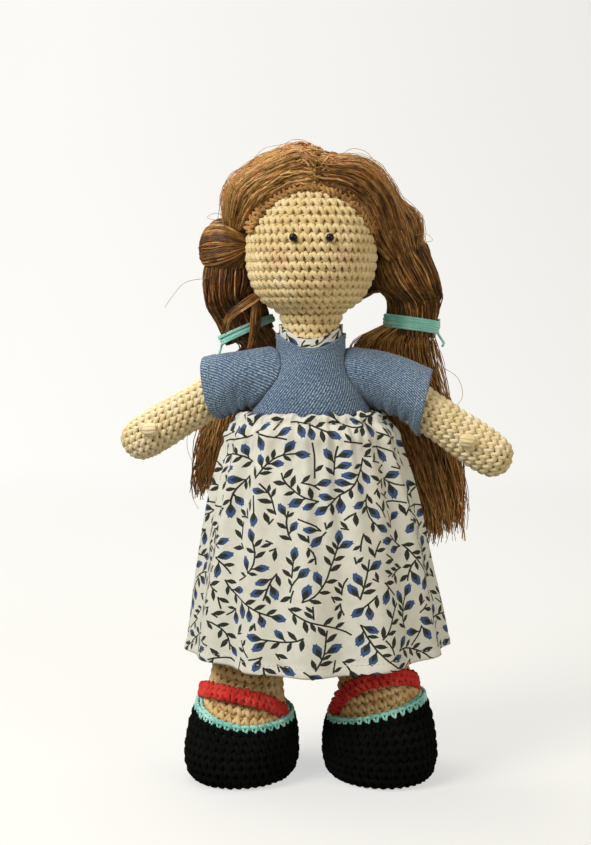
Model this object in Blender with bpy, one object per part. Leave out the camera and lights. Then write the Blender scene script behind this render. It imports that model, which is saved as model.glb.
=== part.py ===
"""A crocheted doll in a denim and floral dress, with two pigtails, shoes and ankle straps.

Metres, +Z up. The doll stands on its soles and faces -Y, so its own left side is at +X.
The origin is on the ground, in the middle of the doll's outline seen from above.
"""

import math

import bmesh
import bpy
import numpy as np
from mathutils import Matrix, Vector

# Fits and walls
GAP = 0.0003
OVERRUN = 0.004
CROCHET_WALL = 0.0026
CLOTH = 0.0010

# Hips and legs
HIP_HEIGHT = 0.1380
HIP_HALF_SPACING = 0.0146
LEG_TOP_RADIUS = 0.0142
LEG_RADIUS = 0.0168
LEG_MOUTH_RADIUS = 0.0050
ANKLE_HALF_SPACING = 0.0300
ANKLE_HEIGHT = 0.0500
LEG_TAPER_SHARES = ((0.20, 0.845), (0.42, 0.90), (0.62, 0.97), (0.82, 1.0), (1.0, 0.98))

# Shoes, measured about the ankle and turned out at the toes
SHOE_HALF_WIDTH = 0.0262
SHOE_HALF_LENGTH = 0.0312
SHOE_HEIGHT = 0.0335
SHOE_FORWARD = 0.0100
SHOE_WALL = 0.0030
SHOE_SOLE = 0.0034
SHOE_RIM_SETBACK = 0.0045
SHOE_FRONT_DIP = 0.0045
SHOE_TOE_OUT = math.radians(17.0)
SHOE_PROFILE_SHARES = ((0.0, 0.84), (0.10, 0.945), (0.30, 1.0), (0.55, 0.985), (0.80, 0.92), (1.0, 0.83))
FOOT_LEVEL_SHARES = (1.0, 0.80, 0.50, 0.28)
INSOLE_THICKNESS = 0.0012
EDGING_RADIUS = 0.0013
STRAP_HALF_HEIGHT = 0.0030
STRAP_HALF_THICKNESS = 0.0013
STRAP_RISE = 0.0095
STRAP_SLACK = 0.0018
STRAP_FORWARD = 0.0028
STRAP_SWEEP = math.radians(104.0)

# Torso
TORSO_HEIGHT = 0.0497
TORSO_HALF_WIDTH = 0.0270
TORSO_HALF_DEPTH = 0.0198
TORSO_PROFILE_SHARES = (
    (0.0, 0.72, 0.72), (0.06, 0.88, 0.88), (0.20, 0.98, 0.98), (0.42, 1.0, 1.0),
    (0.62, 0.90, 0.94), (0.78, 0.735, 0.87), (0.90, 0.63, 0.82), (1.0, 0.572, 0.784),
)

# Head and neck
NECK_RADIUS = 0.0136
NECK_LENGTH = 0.0150
NECK_PROFILE_SHARES = ((0.0, 0.97), (0.45, 1.0), (0.85, 1.01))
HEAD_RADIUS = 0.0312
HEAD_HEIGHT = 0.0710
HEAD_PROFILE_SHARES = (
    (0.03, 0.49), (0.12, 0.75), (0.23, 0.91), (0.36, 0.99), (0.48, 1.0), (0.60, 0.96),
    (0.71, 0.875), (0.82, 0.725), (0.91, 0.53), (0.97, 0.29), (0.995, 0.10),
)
DOWEL_RADIUS = 0.0030
DOWEL_IN_TORSO = 0.0360
DOWEL_IN_HEAD = 0.0440
EYE_RADIUS = 0.0019
EYE_HALF_SPACING = 0.0078
EYE_ABOVE_CHIN = 0.0376

# Arms, swung from the shoulder: the doll's left arm reaches a little forward, the right one back
SHOULDER_HALF_SPACING = 0.0290
SHOULDER_BELOW_TOP = 0.0105
ARM_ROOT_RADIUS = 0.0090
ARM_RADIUS = 0.0102
ARM_MOUTH_RADIUS = 0.0040
ARM_TAPER_SHARES = (
    (0.14, 0.885), (0.36, 0.945), (0.56, 0.96), (0.74, 1.0), (0.86, 0.98), (0.94, 0.82), (0.985, 0.46),
)
LEFT_ARM_LENGTH = 0.0805
RIGHT_ARM_LENGTH = 0.0785
ARM_LENGTH = {1: LEFT_ARM_LENGTH, -1: RIGHT_ARM_LENGTH}
ARM_DROOP = {1: math.radians(34.0), -1: math.radians(30.0)}
ARM_BACKWARD = {1: math.radians(-6.0), -1: math.radians(20.0)}
THUMB_RADIUS = 0.0034
THUMB_REACH = 0.0548

# Dress
WAIST_SHARE = 0.43
BODICE_FOOT_SHARE = 0.36
NECKLINE_FRONT_RISE = 0.0022
NECKLINE_SIDE_RISE = 0.0065
FACING_STAND = 0.0042
SLEEVE_ROOT_HALF_HEIGHT = 0.0150
SLEEVE_ROOT_HALF_DEPTH = 0.0122
SLEEVE_ROOT_DROP = 0.0015
SLEEVE_ROOT_LEAN = math.radians(19.0)
CUFF_HALF_HEIGHT = 0.0166
CUFF_HALF_DEPTH = 0.0138
CUFF_LEAN = math.radians(-13.0)
LEFT_SLEEVE_LENGTH = 0.0340
RIGHT_SLEEVE_LENGTH = 0.0275
SLEEVE_LENGTH = {1: LEFT_SLEEVE_LENGTH, -1: RIGHT_SLEEVE_LENGTH}
SLEEVE_DROOP = {1: math.radians(26.0), -1: math.radians(19.0)}
SKIRT_LENGTH = 0.1185
SKIRT_GATHER = 0.0008
HEM_HALF_WIDTH = 0.0620
HEM_HALF_DEPTH = 0.0460
SKIRT_FLARE_POWER = 0.55
SKIRT_FOLDS = 12
SKIRT_FOLD_DEPTH = 0.0022
BUTTON_RADIUS = 0.0030
BUTTON_THICKNESS = 0.0013
BUTTON_LEVEL_SHARES = (0.90, 0.66)

# Hair: a crocheted cap, a combed mass on each side of the parting, and the pigtails
CAP_WALL = 0.0026
HAIRLINE_BELOW_CROWN = 0.0100
HAIRLINE_FORWARD = 0.0185
HAIRLINE_LEAN = math.radians(24.0)
NAPE_ABOVE_CHIN = 0.0060
PARTING_OFFSET = 0.0020
HAIR_HALF_WIDTH = 0.0430
HAIR_HALF_DEPTH = 0.0400
HAIR_ABOVE_HEAD = 0.0117
HAIR_MASS_DROP = 0.0740
HAIR_MASS_SHARES = (
    (0.0, 0.16), (0.02, 0.34), (0.06, 0.53), (0.15, 0.76), (0.25, 0.90), (0.36, 0.97),
    (0.50, 1.0), (0.62, 0.98), (0.74, 0.93), (0.86, 0.85), (1.0, 0.72),
)
LOBE_RADIUS = 0.0150
UPPER_LOBE_SHARES = {1: (0.98, 0.14, 0.50), -1: (0.94, 0.16, 0.62)}
UPPER_LOBE_SIZE_SHARES = {1: (0.90, 1.0, 1.12), -1: (0.84, 0.95, 0.88)}
LOWER_LOBE_SHARES = {1: (1.07, 0.21, 0.78), -1: (0.90, 0.21, 0.865)}
LOWER_LOBE_SIZE_SHARES = {1: (1.05, 0.95, 1.12), -1: (0.90, 0.95, 0.93)}
LEFT_TIE_BELOW_CROWN = 0.0848
RIGHT_TIE_BELOW_CROWN = 0.0876
TIE_BELOW_CROWN = {1: LEFT_TIE_BELOW_CROWN, -1: RIGHT_TIE_BELOW_CROWN}
LEFT_TIE_OUT = 0.0490
RIGHT_TIE_OUT = 0.0310
TIE_OUT = {1: LEFT_TIE_OUT, -1: RIGHT_TIE_OUT}
TIE_BACK = 0.0165
TIE_TILT = {1: math.radians(6.0), -1: math.radians(22.0)}
LEFT_BUNCH_HALF_WIDTH = 0.0122
RIGHT_BUNCH_HALF_WIDTH = 0.0128
BUNCH_HALF_WIDTH = {1: LEFT_BUNCH_HALF_WIDTH, -1: RIGHT_BUNCH_HALF_WIDTH}
BUNCH_HALF_DEPTH = 0.0068
TIE_CORD_RADIUS = 0.00085
TIE_PITCH = 0.00215
TIE_TURNS = {1: 5, -1: 3}
TIE_LOOSE_END = 0.0050
LEFT_TAIL_LENGTH = 0.1040
RIGHT_TAIL_LENGTH = 0.0830
TAIL_LENGTH = {1: LEFT_TAIL_LENGTH, -1: RIGHT_TAIL_LENGTH}
TAIL_HALF_WIDTH = 0.0200
TAIL_HALF_DEPTH = 0.0064
LEFT_TAIL_OUT = 0.0200
RIGHT_TAIL_OUT = 0.0160
TAIL_OUT = {1: LEFT_TAIL_OUT, -1: RIGHT_TAIL_OUT}
LEFT_TAIL_BACK = 0.0130
RIGHT_TAIL_BACK = 0.0230
TAIL_BACK = {1: LEFT_TAIL_BACK, -1: RIGHT_TAIL_BACK}
TAIL_SHARES = {
    1: (
        (0.0, 0.30, -0.32, 0.0), (0.05, 0.70, -0.32, 0.22), (0.12, 1.0, -0.26, 0.55),
        (0.26, 1.04, -0.10, 0.90), (0.44, 0.98, 0.25, 1.0), (0.64, 0.86, 0.65, 1.0),
        (0.84, 0.74, 0.95, 0.95), (1.0, 0.46, 1.02, 0.90),
    ),
    -1: (
        (0.0, 0.22, -0.32, 0.0), (0.06, 0.52, -0.30, 0.24), (0.14, 0.72, -0.16, 0.55),
        (0.30, 0.84, 0.15, 0.92), (0.50, 0.80, 0.45, 1.0), (0.72, 0.70, 0.75, 1.0),
        (0.90, 0.60, 0.98, 0.98), (1.0, 0.40, 1.0, 0.95),
    ),
}
TAIL_LOCKS = 5
TAIL_LOCK_SHARE = 0.10

# Points round each kind of piece
HEAD_SEGMENTS = 24
TORSO_SEGMENTS = 26
HAIR_SEGMENTS = 28
WINDING_SEGMENTS = 16
TAIL_SEGMENTS = 20
SLEEVE_SEGMENTS = 20
SKIRT_SEGMENTS = 52
LIMB_SEGMENTS = {"arm": 14, "leg": 18}
SHOE_SEGMENTS = 24
EDGING_SEGMENTS = 30
STRAP_STEPS = 14
SKIRT_LEVEL_SHARES = (0.0, 0.05, 0.15, 0.32, 0.55, 0.78, 1.0)
ROUND_END_SHARES = (0.0, 0.34, 0.67, 1.0)

# Colours
CREAM = "DCC6A0"
LEG_TAN = "B89B72"
WHITE_FIBRE = "F1EFE8"
BEECH = "C9A873"
EYE_BLACK = "0B0B0C"
HAIR_BROWN = "5E3D20"
CAP_BROWN = "4A2E16"
MINT = "7CC4B8"
DENIM_BLUE = "6787B0"
PRINT_GROUND = "E9E7DC"
BUTTON_WHITE = "E8E4D8"
CARD_BROWN = "B8A07A"
SHOE_BLACK = "17191A"
STRAP_RED = "CC2026"

# Levels worked out from the sizes above
TORSO_FOOT = HIP_HEIGHT + LEG_TOP_RADIUS + GAP
TORSO_TOP = TORSO_FOOT + TORSO_HEIGHT
NECK_FOOT = TORSO_TOP + GAP
CHIN = NECK_FOOT + NECK_LENGTH
CROWN = CHIN + HEAD_HEIGHT
HAIR_TOP = CROWN + HAIR_ABOVE_HEAD
SHOULDER_HEIGHT = TORSO_TOP - SHOULDER_BELOW_TOP
WAIST = TORSO_FOOT + TORSO_HEIGHT * WAIST_SHARE
SIDE_NAMES = {1: "left", -1: "right"}
UP = Vector((0, 0, 1))
BACK = Vector((0, 1, 0))


def clear_scene():
    for old in list(bpy.data.objects):
        bpy.data.objects.remove(old, do_unlink=True)


def linear(hex_colour):
    """An sRGB hex colour as the linear values that a shader takes."""
    parts = [int(hex_colour[i:i + 2], 16) / 255 for i in (0, 2, 4)]
    return [c / 12.92 if c <= 0.04045 else ((c + 0.055) / 1.055) ** 2.4 for c in parts] + [1.0]


def material(name, hex_colour, roughness, metallic=0.0):
    made = bpy.data.materials.new(name)
    made.use_nodes = True
    shader = made.node_tree.nodes["Principled BSDF"]
    shader.inputs["Base Color"].default_value = linear(hex_colour)
    shader.inputs["Roughness"].default_value = roughness
    shader.inputs["Metallic"].default_value = metallic
    made.diffuse_color = linear(hex_colour)
    return made


def finish_piece(name, mesh, finish, body):
    """Put a mesh into the scene as one named piece of the doll, kept on its body's pivot."""
    mesh.shade_smooth()
    mesh.set_sharp_from_angle(angle=math.radians(50))
    piece = bpy.data.objects.new(name, mesh)
    bpy.context.collection.objects.link(piece)
    piece.data.materials.append(finish)
    piece.parent = body
    piece.matrix_parent_inverse = body.matrix_world.inverted()
    return piece


def make_cutter(name, mesh):
    cutter = bpy.data.objects.new(name, mesh)
    bpy.context.collection.objects.link(cutter)
    cutter.hide_render = True
    cutter.display_type = "WIRE"
    return cutter


def combine(piece, other, operation):
    step = piece.modifiers.new(f"{operation.lower()} {other.name}", "BOOLEAN")
    step.operation = operation
    step.solver = "EXACT"
    step.object = other


def pivot(name, place):
    empty = bpy.data.objects.new(name, None)
    bpy.context.collection.objects.link(empty)
    empty.location = place
    bpy.context.view_layer.update()
    return empty


def ring(centre, across, along, count):
    """Points round an ellipse, anticlockwise from `across` towards `along`."""
    turns = [math.tau * k / count for k in range(count)]
    return [centre + across * math.cos(a) + along * math.sin(a) for a in turns]


def strip(mesh, lower, upper):
    for k in range(len(lower)):
        after = (k + 1) % len(lower)
        mesh.faces.new((lower[k], lower[after], upper[after], upper[k]))


def strips(mesh, rings):
    levels = [[mesh.verts.new(p) for p in points] for points in rings]
    for lower, upper in zip(levels, levels[1:]):
        strip(mesh, lower, upper)
    return levels


def closed_mesh(name, mesh):
    bmesh.ops.recalc_face_normals(mesh, faces=mesh.faces)
    data = bpy.data.meshes.new(name)
    mesh.to_mesh(data)
    mesh.free()
    return data


def solid(name, rings):
    """A loft through rings, with a flat cap at each end."""
    mesh = bmesh.new()
    levels = strips(mesh, rings)
    mesh.faces.new(levels[0])
    mesh.faces.new(levels[-1])
    return closed_mesh(name, mesh)


def cup(name, outer, inner):
    """A wall between two lofts, open at their first rings and closed at their last."""
    mesh = bmesh.new()
    outside = strips(mesh, outer)
    inside = strips(mesh, inner)
    strip(mesh, outside[0], inside[0])
    mesh.faces.new(outside[-1])
    mesh.faces.new(inside[-1])
    return closed_mesh(name, mesh)


def tube(name, outer, inner):
    """A wall between two lofts, open at both ends."""
    mesh = bmesh.new()
    outside = strips(mesh, outer)
    inside = strips(mesh, inner)
    strip(mesh, outside[0], inside[0])
    strip(mesh, outside[-1], inside[-1])
    return closed_mesh(name, mesh)


def loop_tube(name, rings):
    """A loft through rings that closes on itself, as an edging does."""
    mesh = bmesh.new()
    levels = strips(mesh, rings)
    strip(mesh, levels[-1], levels[0])
    return closed_mesh(name, mesh)


def ball(name, centre, half_sizes, segments=16, levels=10, turn=None):
    mesh = bmesh.new()
    place = Matrix.Translation(centre) @ (turn or Matrix.Identity(4)) @ Matrix.Diagonal((*half_sizes, 1))
    bmesh.ops.create_uvsphere(mesh, u_segments=segments, v_segments=levels, radius=1, matrix=place)
    return closed_mesh(name, mesh)


def block(name, centre, sizes, turn=None):
    mesh = bmesh.new()
    place = Matrix.Translation(centre) @ (turn or Matrix.Identity(4)) @ Matrix.Diagonal((*sizes, 1))
    bmesh.ops.create_cube(mesh, size=1, matrix=place)
    return closed_mesh(name, mesh)


def rod(name, radius, foot, top, segments=16):
    ends = [Vector((0, 0, foot)), Vector((0, 0, top))]
    return solid(name, [ring(end, Vector((radius, 0, 0)), BACK * radius, segments) for end in ends])


# Head
def head_rings(grow, segments=HEAD_SEGMENTS):
    """The neck and head, from the foot of the neck up, `grow` bigger all round."""
    places = [(NECK_FOOT + NECK_LENGTH * h, NECK_RADIUS * r) for h, r in NECK_PROFILE_SHARES]
    for h, r in HEAD_PROFILE_SHARES:
        places.append((CHIN + HEAD_HEIGHT * h + grow * (2 * h - 1), HEAD_RADIUS * r))
    return [
        ring(Vector((0, 0, z)), Vector((r + grow, 0, 0)), BACK * (r + grow), segments)
        for z, r in places
        if r + grow > abs(grow) / 2
    ]


def fewer(rings):
    """Every other ring, with both ends, for an inner side that nobody sees."""
    return rings[:-1:2] + rings[-1:]


def head_radius(height):
    """The head's radius at a height above the chin."""
    levels = [HEAD_HEIGHT * h for h, r in HEAD_PROFILE_SHARES]
    return float(np.interp(height, levels, [HEAD_RADIUS * r for h, r in HEAD_PROFILE_SHARES]))


def make_head(body):
    flesh = material("head_cotton", CREAM, 0.85)
    cover = cup("head_cover", head_rings(0), fewer(head_rings(-CROCHET_WALL)))
    finish_piece("head_cover", cover, flesh, body)

    filling = material("head_fibre", WHITE_FIBRE, 0.95)
    core = solid("head_stuffing", fewer(head_rings(-CROCHET_WALL - GAP)))
    stuffing = finish_piece("head_stuffing", core, filling, body)
    bore = rod("head_bore", DOWEL_RADIUS + GAP, NECK_FOOT - OVERRUN, NECK_FOOT + DOWEL_IN_HEAD + GAP)
    combine(stuffing, make_cutter("head_bore", bore), "DIFFERENCE")
    dowel = rod("neck_dowel", DOWEL_RADIUS, NECK_FOOT - DOWEL_IN_TORSO, NECK_FOOT + DOWEL_IN_HEAD)
    finish_piece("neck_dowel", dowel, material("beech", BEECH, 0.6), body)

    reach = math.sqrt(head_radius(EYE_ABOVE_CHIN) ** 2 - EYE_HALF_SPACING**2)
    for side, name in SIDE_NAMES.items():
        seat = Vector((side * EYE_HALF_SPACING, -reach, CHIN + EYE_ABOVE_CHIN))
        outward = Vector((side * EYE_HALF_SPACING, -reach, 0)).normalized()
        bead = ball("eye", seat + outward * (EYE_RADIUS + GAP), [EYE_RADIUS] * 3, 10, 6)
        finish_piece(f"{name}_eye", bead, material(f"{name}_eye_bead", EYE_BLACK, 0.12), body)


# Hair
def face_cutter():
    """Everything in front of the hairline, a plane that leans back towards the ears."""
    size = HAIR_HALF_WIDTH * 4
    turn = Matrix.Rotation(HAIRLINE_LEAN, 4, "X")
    edge = Vector((0, -HAIRLINE_FORWARD, CROWN - HAIRLINE_BELOW_CROWN))
    return block("face_cutter", edge - turn.to_3x3() @ BACK * (size / 2), [size] * 3, turn)


def nape_cutter():
    size = HAIR_HALF_WIDTH * 4
    return block("nape_cutter", Vector((0, 0, CHIN + NAPE_ABOVE_CHIN - size / 2)), [size] * 3)


def bunch_frame(side):
    """Where a tie holds the hair: the middle, the way across the bunch, and the way down its length."""
    middle = Vector((side * TIE_OUT[side], TIE_BACK, HAIR_TOP - TIE_BELOW_CROWN[side]))
    across = Matrix.Rotation(side * TIE_TILT[side], 3, "Y") @ Vector((side, 0, 0))
    return middle, across, across.cross(BACK).normalized() * -side


def tie_half_height(side):
    return TIE_PITCH * TIE_TURNS[side] / 2 + TIE_CORD_RADIUS


def hair_lobe(name, side, place_shares, size_shares):
    out, back, down = place_shares
    height = HAIR_TOP - HAIR_MASS_DROP * down
    centre = Vector((side * HAIR_HALF_WIDTH * out, HAIR_HALF_DEPTH * back, height))
    return make_cutter(name, ball(name, centre, [LOBE_RADIUS * s for s in size_shares]))


def bunch_core(side):
    """The drawn-in neck of the pigtail, from inside the lower lobe to just under the tie."""
    middle, across, down = bunch_frame(side)
    half = tie_half_height(side)
    wide = across * BUNCH_HALF_WIDTH[side]
    drops = (-half - LOBE_RADIUS / 2, half + GAP)
    rings = [ring(middle + down * d, wide, BACK * BUNCH_HALF_DEPTH, WINDING_SEGMENTS) for d in drops]
    return make_cutter(f"{SIDE_NAMES[side]}_bunch_core", solid("bunch_core", rings))


def make_hair(body):
    face = make_cutter("face_cutter", face_cutter())
    nape = make_cutter("nape_cutter", nape_cutter())
    head_room = make_cutter("head_room", solid("head_room", head_rings(GAP)))
    cap_room = make_cutter("cap_room", solid("cap_room", head_rings(CAP_WALL + 2 * GAP)))

    cap_yarn = material("cap_yarn", CAP_BROWN, 0.85)
    cap = finish_piece("hair_cap", solid("hair_cap", head_rings(CAP_WALL + GAP)), cap_yarn, body)
    for cutter in (head_room, face, nape):
        combine(cap, cutter, "DIFFERENCE")

    rings = []
    for h, r in HAIR_MASS_SHARES:
        centre = Vector((0, 0, HAIR_TOP - HAIR_MASS_DROP * h))
        wide = Vector((HAIR_HALF_WIDTH * r, 0, 0))
        rings.append(ring(centre, wide, BACK * (HAIR_HALF_DEPTH * r), HAIR_SEGMENTS))
    size = HAIR_HALF_WIDTH * 4
    for side, name in SIDE_NAMES.items():
        yarn = material(f"{name}_hair_yarn", HAIR_BROWN, 0.7)
        hair = finish_piece(f"{name}_hair_side", solid("hair_side", rings), yarn, body)
        edge = PARTING_OFFSET + side * GAP / 2
        other = block("other_side", Vector((edge - side * size / 2, 0, HAIR_TOP)), [size] * 3)
        combine(hair, make_cutter(f"{name}_parting_cutter", other), "DIFFERENCE")
        combine(hair, face, "DIFFERENCE")
        place, sizes = UPPER_LOBE_SHARES[side], UPPER_LOBE_SIZE_SHARES[side]
        upper = hair_lobe(f"{name}_upper_lobe", side, place, sizes)
        place, sizes = LOWER_LOBE_SHARES[side], LOWER_LOBE_SIZE_SHARES[side]
        lower = hair_lobe(f"{name}_lower_lobe", side, place, sizes)
        for lobe in (upper, lower, bunch_core(side)):
            combine(hair, lobe, "UNION")
        combine(hair, cap_room, "DIFFERENCE")


def tie_points(side):
    """A cord wound round the bunch as a helix, with a straight loose end off each side."""
    middle, across, down = bunch_frame(side)
    wide = BUNCH_HALF_WIDTH[side] + GAP + TIE_CORD_RADIUS
    deep = BUNCH_HALF_DEPTH + GAP + TIE_CORD_RADIUS
    points = []
    for k in range(WINDING_SEGMENTS * TIE_TURNS[side] + 1):
        turn = math.tau * k / WINDING_SEGMENTS
        drop = TIE_PITCH * (k / WINDING_SEGMENTS - TIE_TURNS[side] / 2)
        outward = across * (wide * math.cos(turn)) + BACK * (deep * math.sin(turn))
        points.append(middle + outward + down * drop)
    start = (points[0] - points[1]).normalized() * TIE_LOOSE_END
    end = (points[-1] - points[-2]).normalized() * TIE_LOOSE_END
    return [points[0] + start] + points + [points[-1] + end]


def least_gap(points, radius):
    """The least clear distance between turns of a wound cord, measured on its points."""
    line = np.array([tuple(p) for p in points])
    apart = np.linalg.norm(line[:, None] - line[None], axis=2)
    order = np.arange(len(line))
    far_along = np.abs(order[:, None] - order[None]) >= WINDING_SEGMENTS // 2
    return float(apart[far_along].min()) - 2 * radius


def make_hair_ties(body):
    for side, name in SIDE_NAMES.items():
        points = tie_points(side)
        curve = bpy.data.curves.new(f"{name}_hair_tie", "CURVE")
        curve.dimensions = "3D"
        curve.bevel_depth = TIE_CORD_RADIUS
        curve.bevel_resolution = 1
        curve.use_fill_caps = True
        spline = curve.splines.new("POLY")
        spline.points.add(len(points) - 1)
        for control, point in zip(spline.points, points):
            control.co = (*point, 1)
        tie = bpy.data.objects.new(f"{name}_hair_tie", curve)
        bpy.context.collection.objects.link(tie)
        tie.data.materials.append(material(f"{name}_tie_cotton", MINT, 0.75))
        tie.parent = body
        tie.matrix_parent_inverse = body.matrix_world.inverted()
        apart = least_gap(points, TIE_CORD_RADIUS) * 1000
        print(f"{name}_hair_tie: least gap between turns {apart:.2f} mm")


def tail_pivot(side):
    middle, across, down = bunch_frame(side)
    return middle + down * (tie_half_height(side) + 2 * GAP)


def make_tail(side, body):
    """The loose end of a pigtail. Its root lies inward of the pivot, so that it swings out freely."""
    root = tail_pivot(side)
    length = TAIL_LENGTH[side]
    rings = []
    for down, wide, out, back in TAIL_SHARES[side]:
        centre = root + Vector((side * TAIL_OUT[side] * out, TAIL_BACK[side] * back, -length * down))
        reach = Vector((side * TAIL_HALF_WIDTH * wide, 0, 0))
        points = ring(centre, reach, BACK * TAIL_HALF_DEPTH, TAIL_SEGMENTS)
        for k, point in enumerate(points):
            lock = 1 + TAIL_LOCK_SHARE * math.cos(math.tau * TAIL_LOCKS * k / TAIL_SEGMENTS)
            points[k] = centre + (point - centre) * lock
        rings.append(points)
    name = f"{SIDE_NAMES[side]}_tail"
    finish_piece(name, solid(name, rings), material(f"{name}_yarn", HAIR_BROWN, 0.7), body)


# Torso
def torso_half_sizes(share):
    levels = [row[0] for row in TORSO_PROFILE_SHARES]
    wide = TORSO_HALF_WIDTH * float(np.interp(share, levels, [row[1] for row in TORSO_PROFILE_SHARES]))
    deep = TORSO_HALF_DEPTH * float(np.interp(share, levels, [row[2] for row in TORSO_PROFILE_SHARES]))
    return wide, deep


def torso_ring(share, grow, segments=TORSO_SEGMENTS):
    wide, deep = torso_half_sizes(share)
    centre = Vector((0, 0, TORSO_FOOT + TORSO_HEIGHT * share))
    return ring(centre, Vector((wide + grow, 0, 0)), BACK * (deep + grow), segments)


def shoulder(side):
    return Vector((side * SHOULDER_HALF_SPACING, 0, SHOULDER_HEIGHT))


def make_torso(body):
    flesh = material("body_cotton", CREAM, 0.85)
    filling = material("body_fibre", WHITE_FIBRE, 0.95)
    shares = [row[0] for row in reversed(TORSO_PROFILE_SHARES)]
    outer = [torso_ring(s, 0) for s in shares]
    inner = [torso_ring(s, -CROCHET_WALL) for s in shares]
    floor = [point + UP * CROCHET_WALL for point in inner[-1]]
    cover = finish_piece("body_cover", cup("body_cover", outer, inner[:-2] + [floor]), flesh, body)

    floor_gap = UP * (CROCHET_WALL + GAP)
    rings = [torso_ring(s, -CROCHET_WALL - GAP) for s in shares]
    rings = rings[:-2] + [[point + floor_gap for point in rings[-1]]]
    stuffing = finish_piece("body_stuffing", solid("body_stuffing", rings), filling, body)
    bore = rod("body_bore", DOWEL_RADIUS + GAP, NECK_FOOT - DOWEL_IN_TORSO - GAP, TORSO_TOP + OVERRUN)
    combine(stuffing, make_cutter("body_bore", bore), "DIFFERENCE")
    for side, name in SIDE_NAMES.items():
        for piece, extra in ((cover, GAP), (stuffing, 2 * GAP)):
            size = [ARM_ROOT_RADIUS + GAP + extra] * 3
            socket = ball("socket", shoulder(side), size)
            cutter = make_cutter(f"{name}_{piece.name}_socket", socket)
            combine(piece, cutter, "DIFFERENCE")


# Dress
def side_rise(angle):
    """How far round a neckline has risen from its low front: 0 in front, 1 at the sides and back."""
    return 1 - max(0.0, -math.sin(angle)) ** 2


def neckline_ring(radius, base):
    """A round neckline, low in front; `base` is its height above the torso in front."""
    points = neck_ring(radius, TORSO_TOP + base)
    turns = [math.tau * k / TORSO_SEGMENTS for k in range(TORSO_SEGMENTS)]
    return [point + UP * (NECKLINE_SIDE_RISE * side_rise(a)) for point, a in zip(points, turns)]


def neck_ring(radius, height):
    return ring(Vector((0, 0, height)), Vector((radius, 0, 0)), BACK * radius, TORSO_SEGMENTS)


def facing_radius():
    return NECK_RADIUS + 2 * GAP


def bodice_reach(height, back):
    """How far out the bodice's side stands, clear of it, at a height and a distance behind the middle."""
    wide, deep = torso_half_sizes(min(1.0, (height - TORSO_FOOT) / TORSO_HEIGHT))
    wide, deep = wide + CLOTH + 2 * GAP, deep + CLOTH + 2 * GAP
    return wide * math.sqrt(max(0.0, 1 - (back / deep) ** 2))


def sleeve_rings(side, grow, inward=0.0):
    """A short sleeve from the armhole to the cuff, `grow` bigger all round, run `inward` at its root."""
    yaw = Matrix.Rotation(side * ARM_BACKWARD[side], 3, "Z")
    out = yaw @ Vector((side, 0, 0))
    depth = yaw @ BACK
    level = SHOULDER_HEIGHT - SLEEVE_ROOT_DROP
    wide = bodice_reach(level, 0)
    behind = (wide - SHOULDER_HALF_SPACING) * side * out.y / out.x
    root = Vector((side * wide, behind, level))
    high = SLEEVE_ROOT_HALF_HEIGHT * math.cos(SLEEVE_ROOT_LEAN) + grow
    deep = SLEEVE_ROOT_HALF_DEPTH + grow
    armhole = ring(root, UP * -high, BACK * deep, SLEEVE_SEGMENTS)
    rings = [[Vector((side * bodice_reach(p.z, p.y), p.y, p.z)) for p in armhole]]
    reach = SLEEVE_LENGTH[side]
    for share in (0.3, 0.65, 1.0):
        droop = SLEEVE_DROOP[side] * share
        lean = SLEEVE_ROOT_LEAN + (CUFF_LEAN - SLEEVE_ROOT_LEAN) * share
        high = grow + SLEEVE_ROOT_HALF_HEIGHT * (1 - share) + CUFF_HALF_HEIGHT * share
        deep = grow + SLEEVE_ROOT_HALF_DEPTH * (1 - share) + CUFF_HALF_DEPTH * share
        centre = root + (out * math.cos(droop) - UP * math.sin(droop)) * (reach * share)
        down = out * math.sin(lean) - UP * math.cos(lean)
        rings.append(ring(centre, down * high, depth * deep, SLEEVE_SEGMENTS))
    if inward:
        rings.insert(0, [point - Vector((side * inward, 0, 0)) for point in rings[0]])
    return rings


def make_bodice(body):
    denim = material("bodice_denim", DENIM_BLUE, 0.9)
    shares = [row[0] for row in TORSO_PROFILE_SHARES if row[0] > BODICE_FOOT_SHARE]
    shares.insert(0, BODICE_FOOT_SHARE)
    inside = facing_radius() + CLOTH + GAP
    inner = [torso_ring(s, GAP) for s in shares]
    inner.append(neckline_ring(inside, NECKLINE_FRONT_RISE))
    outer = [torso_ring(s, GAP + CLOTH) for s in shares]
    outer.append(neckline_ring(inside + CLOTH, NECKLINE_FRONT_RISE))
    bodice = finish_piece("bodice", tube("bodice", outer, inner), denim, body)
    for side, name in SIDE_NAMES.items():
        armhole = solid("armhole", sleeve_rings(side, GAP, SHOULDER_HALF_SPACING / 2))
        combine(bodice, make_cutter(f"{name}_armhole", armhole), "DIFFERENCE")
    size = (2 * GAP, TORSO_HALF_DEPTH, TORSO_HEIGHT * 2)
    slit = block("back_slit", Vector((0, TORSO_HALF_DEPTH, TORSO_TOP)), size)
    combine(bodice, make_cutter("back_slit", slit), "DIFFERENCE")
    for side, name in SIDE_NAMES.items():
        sleeve = tube("sleeve", sleeve_rings(side, 0), sleeve_rings(side, -CLOTH))
        finish_piece(f"{name}_sleeve", sleeve, material(f"{name}_denim", DENIM_BLUE, 0.9), body)


def make_facing(body):
    """The printed lining that shows inside the neckline, standing up round the neck."""
    foot = TORSO_TOP + GAP
    stand = NECKLINE_FRONT_RISE + FACING_STAND
    walls = []
    for radius in (facing_radius() + CLOTH, facing_radius()):
        walls.append([neck_ring(radius, foot), neckline_ring(radius, stand)])
    cotton = material("facing_cotton", PRINT_GROUND, 0.9)
    finish_piece("neck_facing", tube("neck_facing", *walls), cotton, body)


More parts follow.
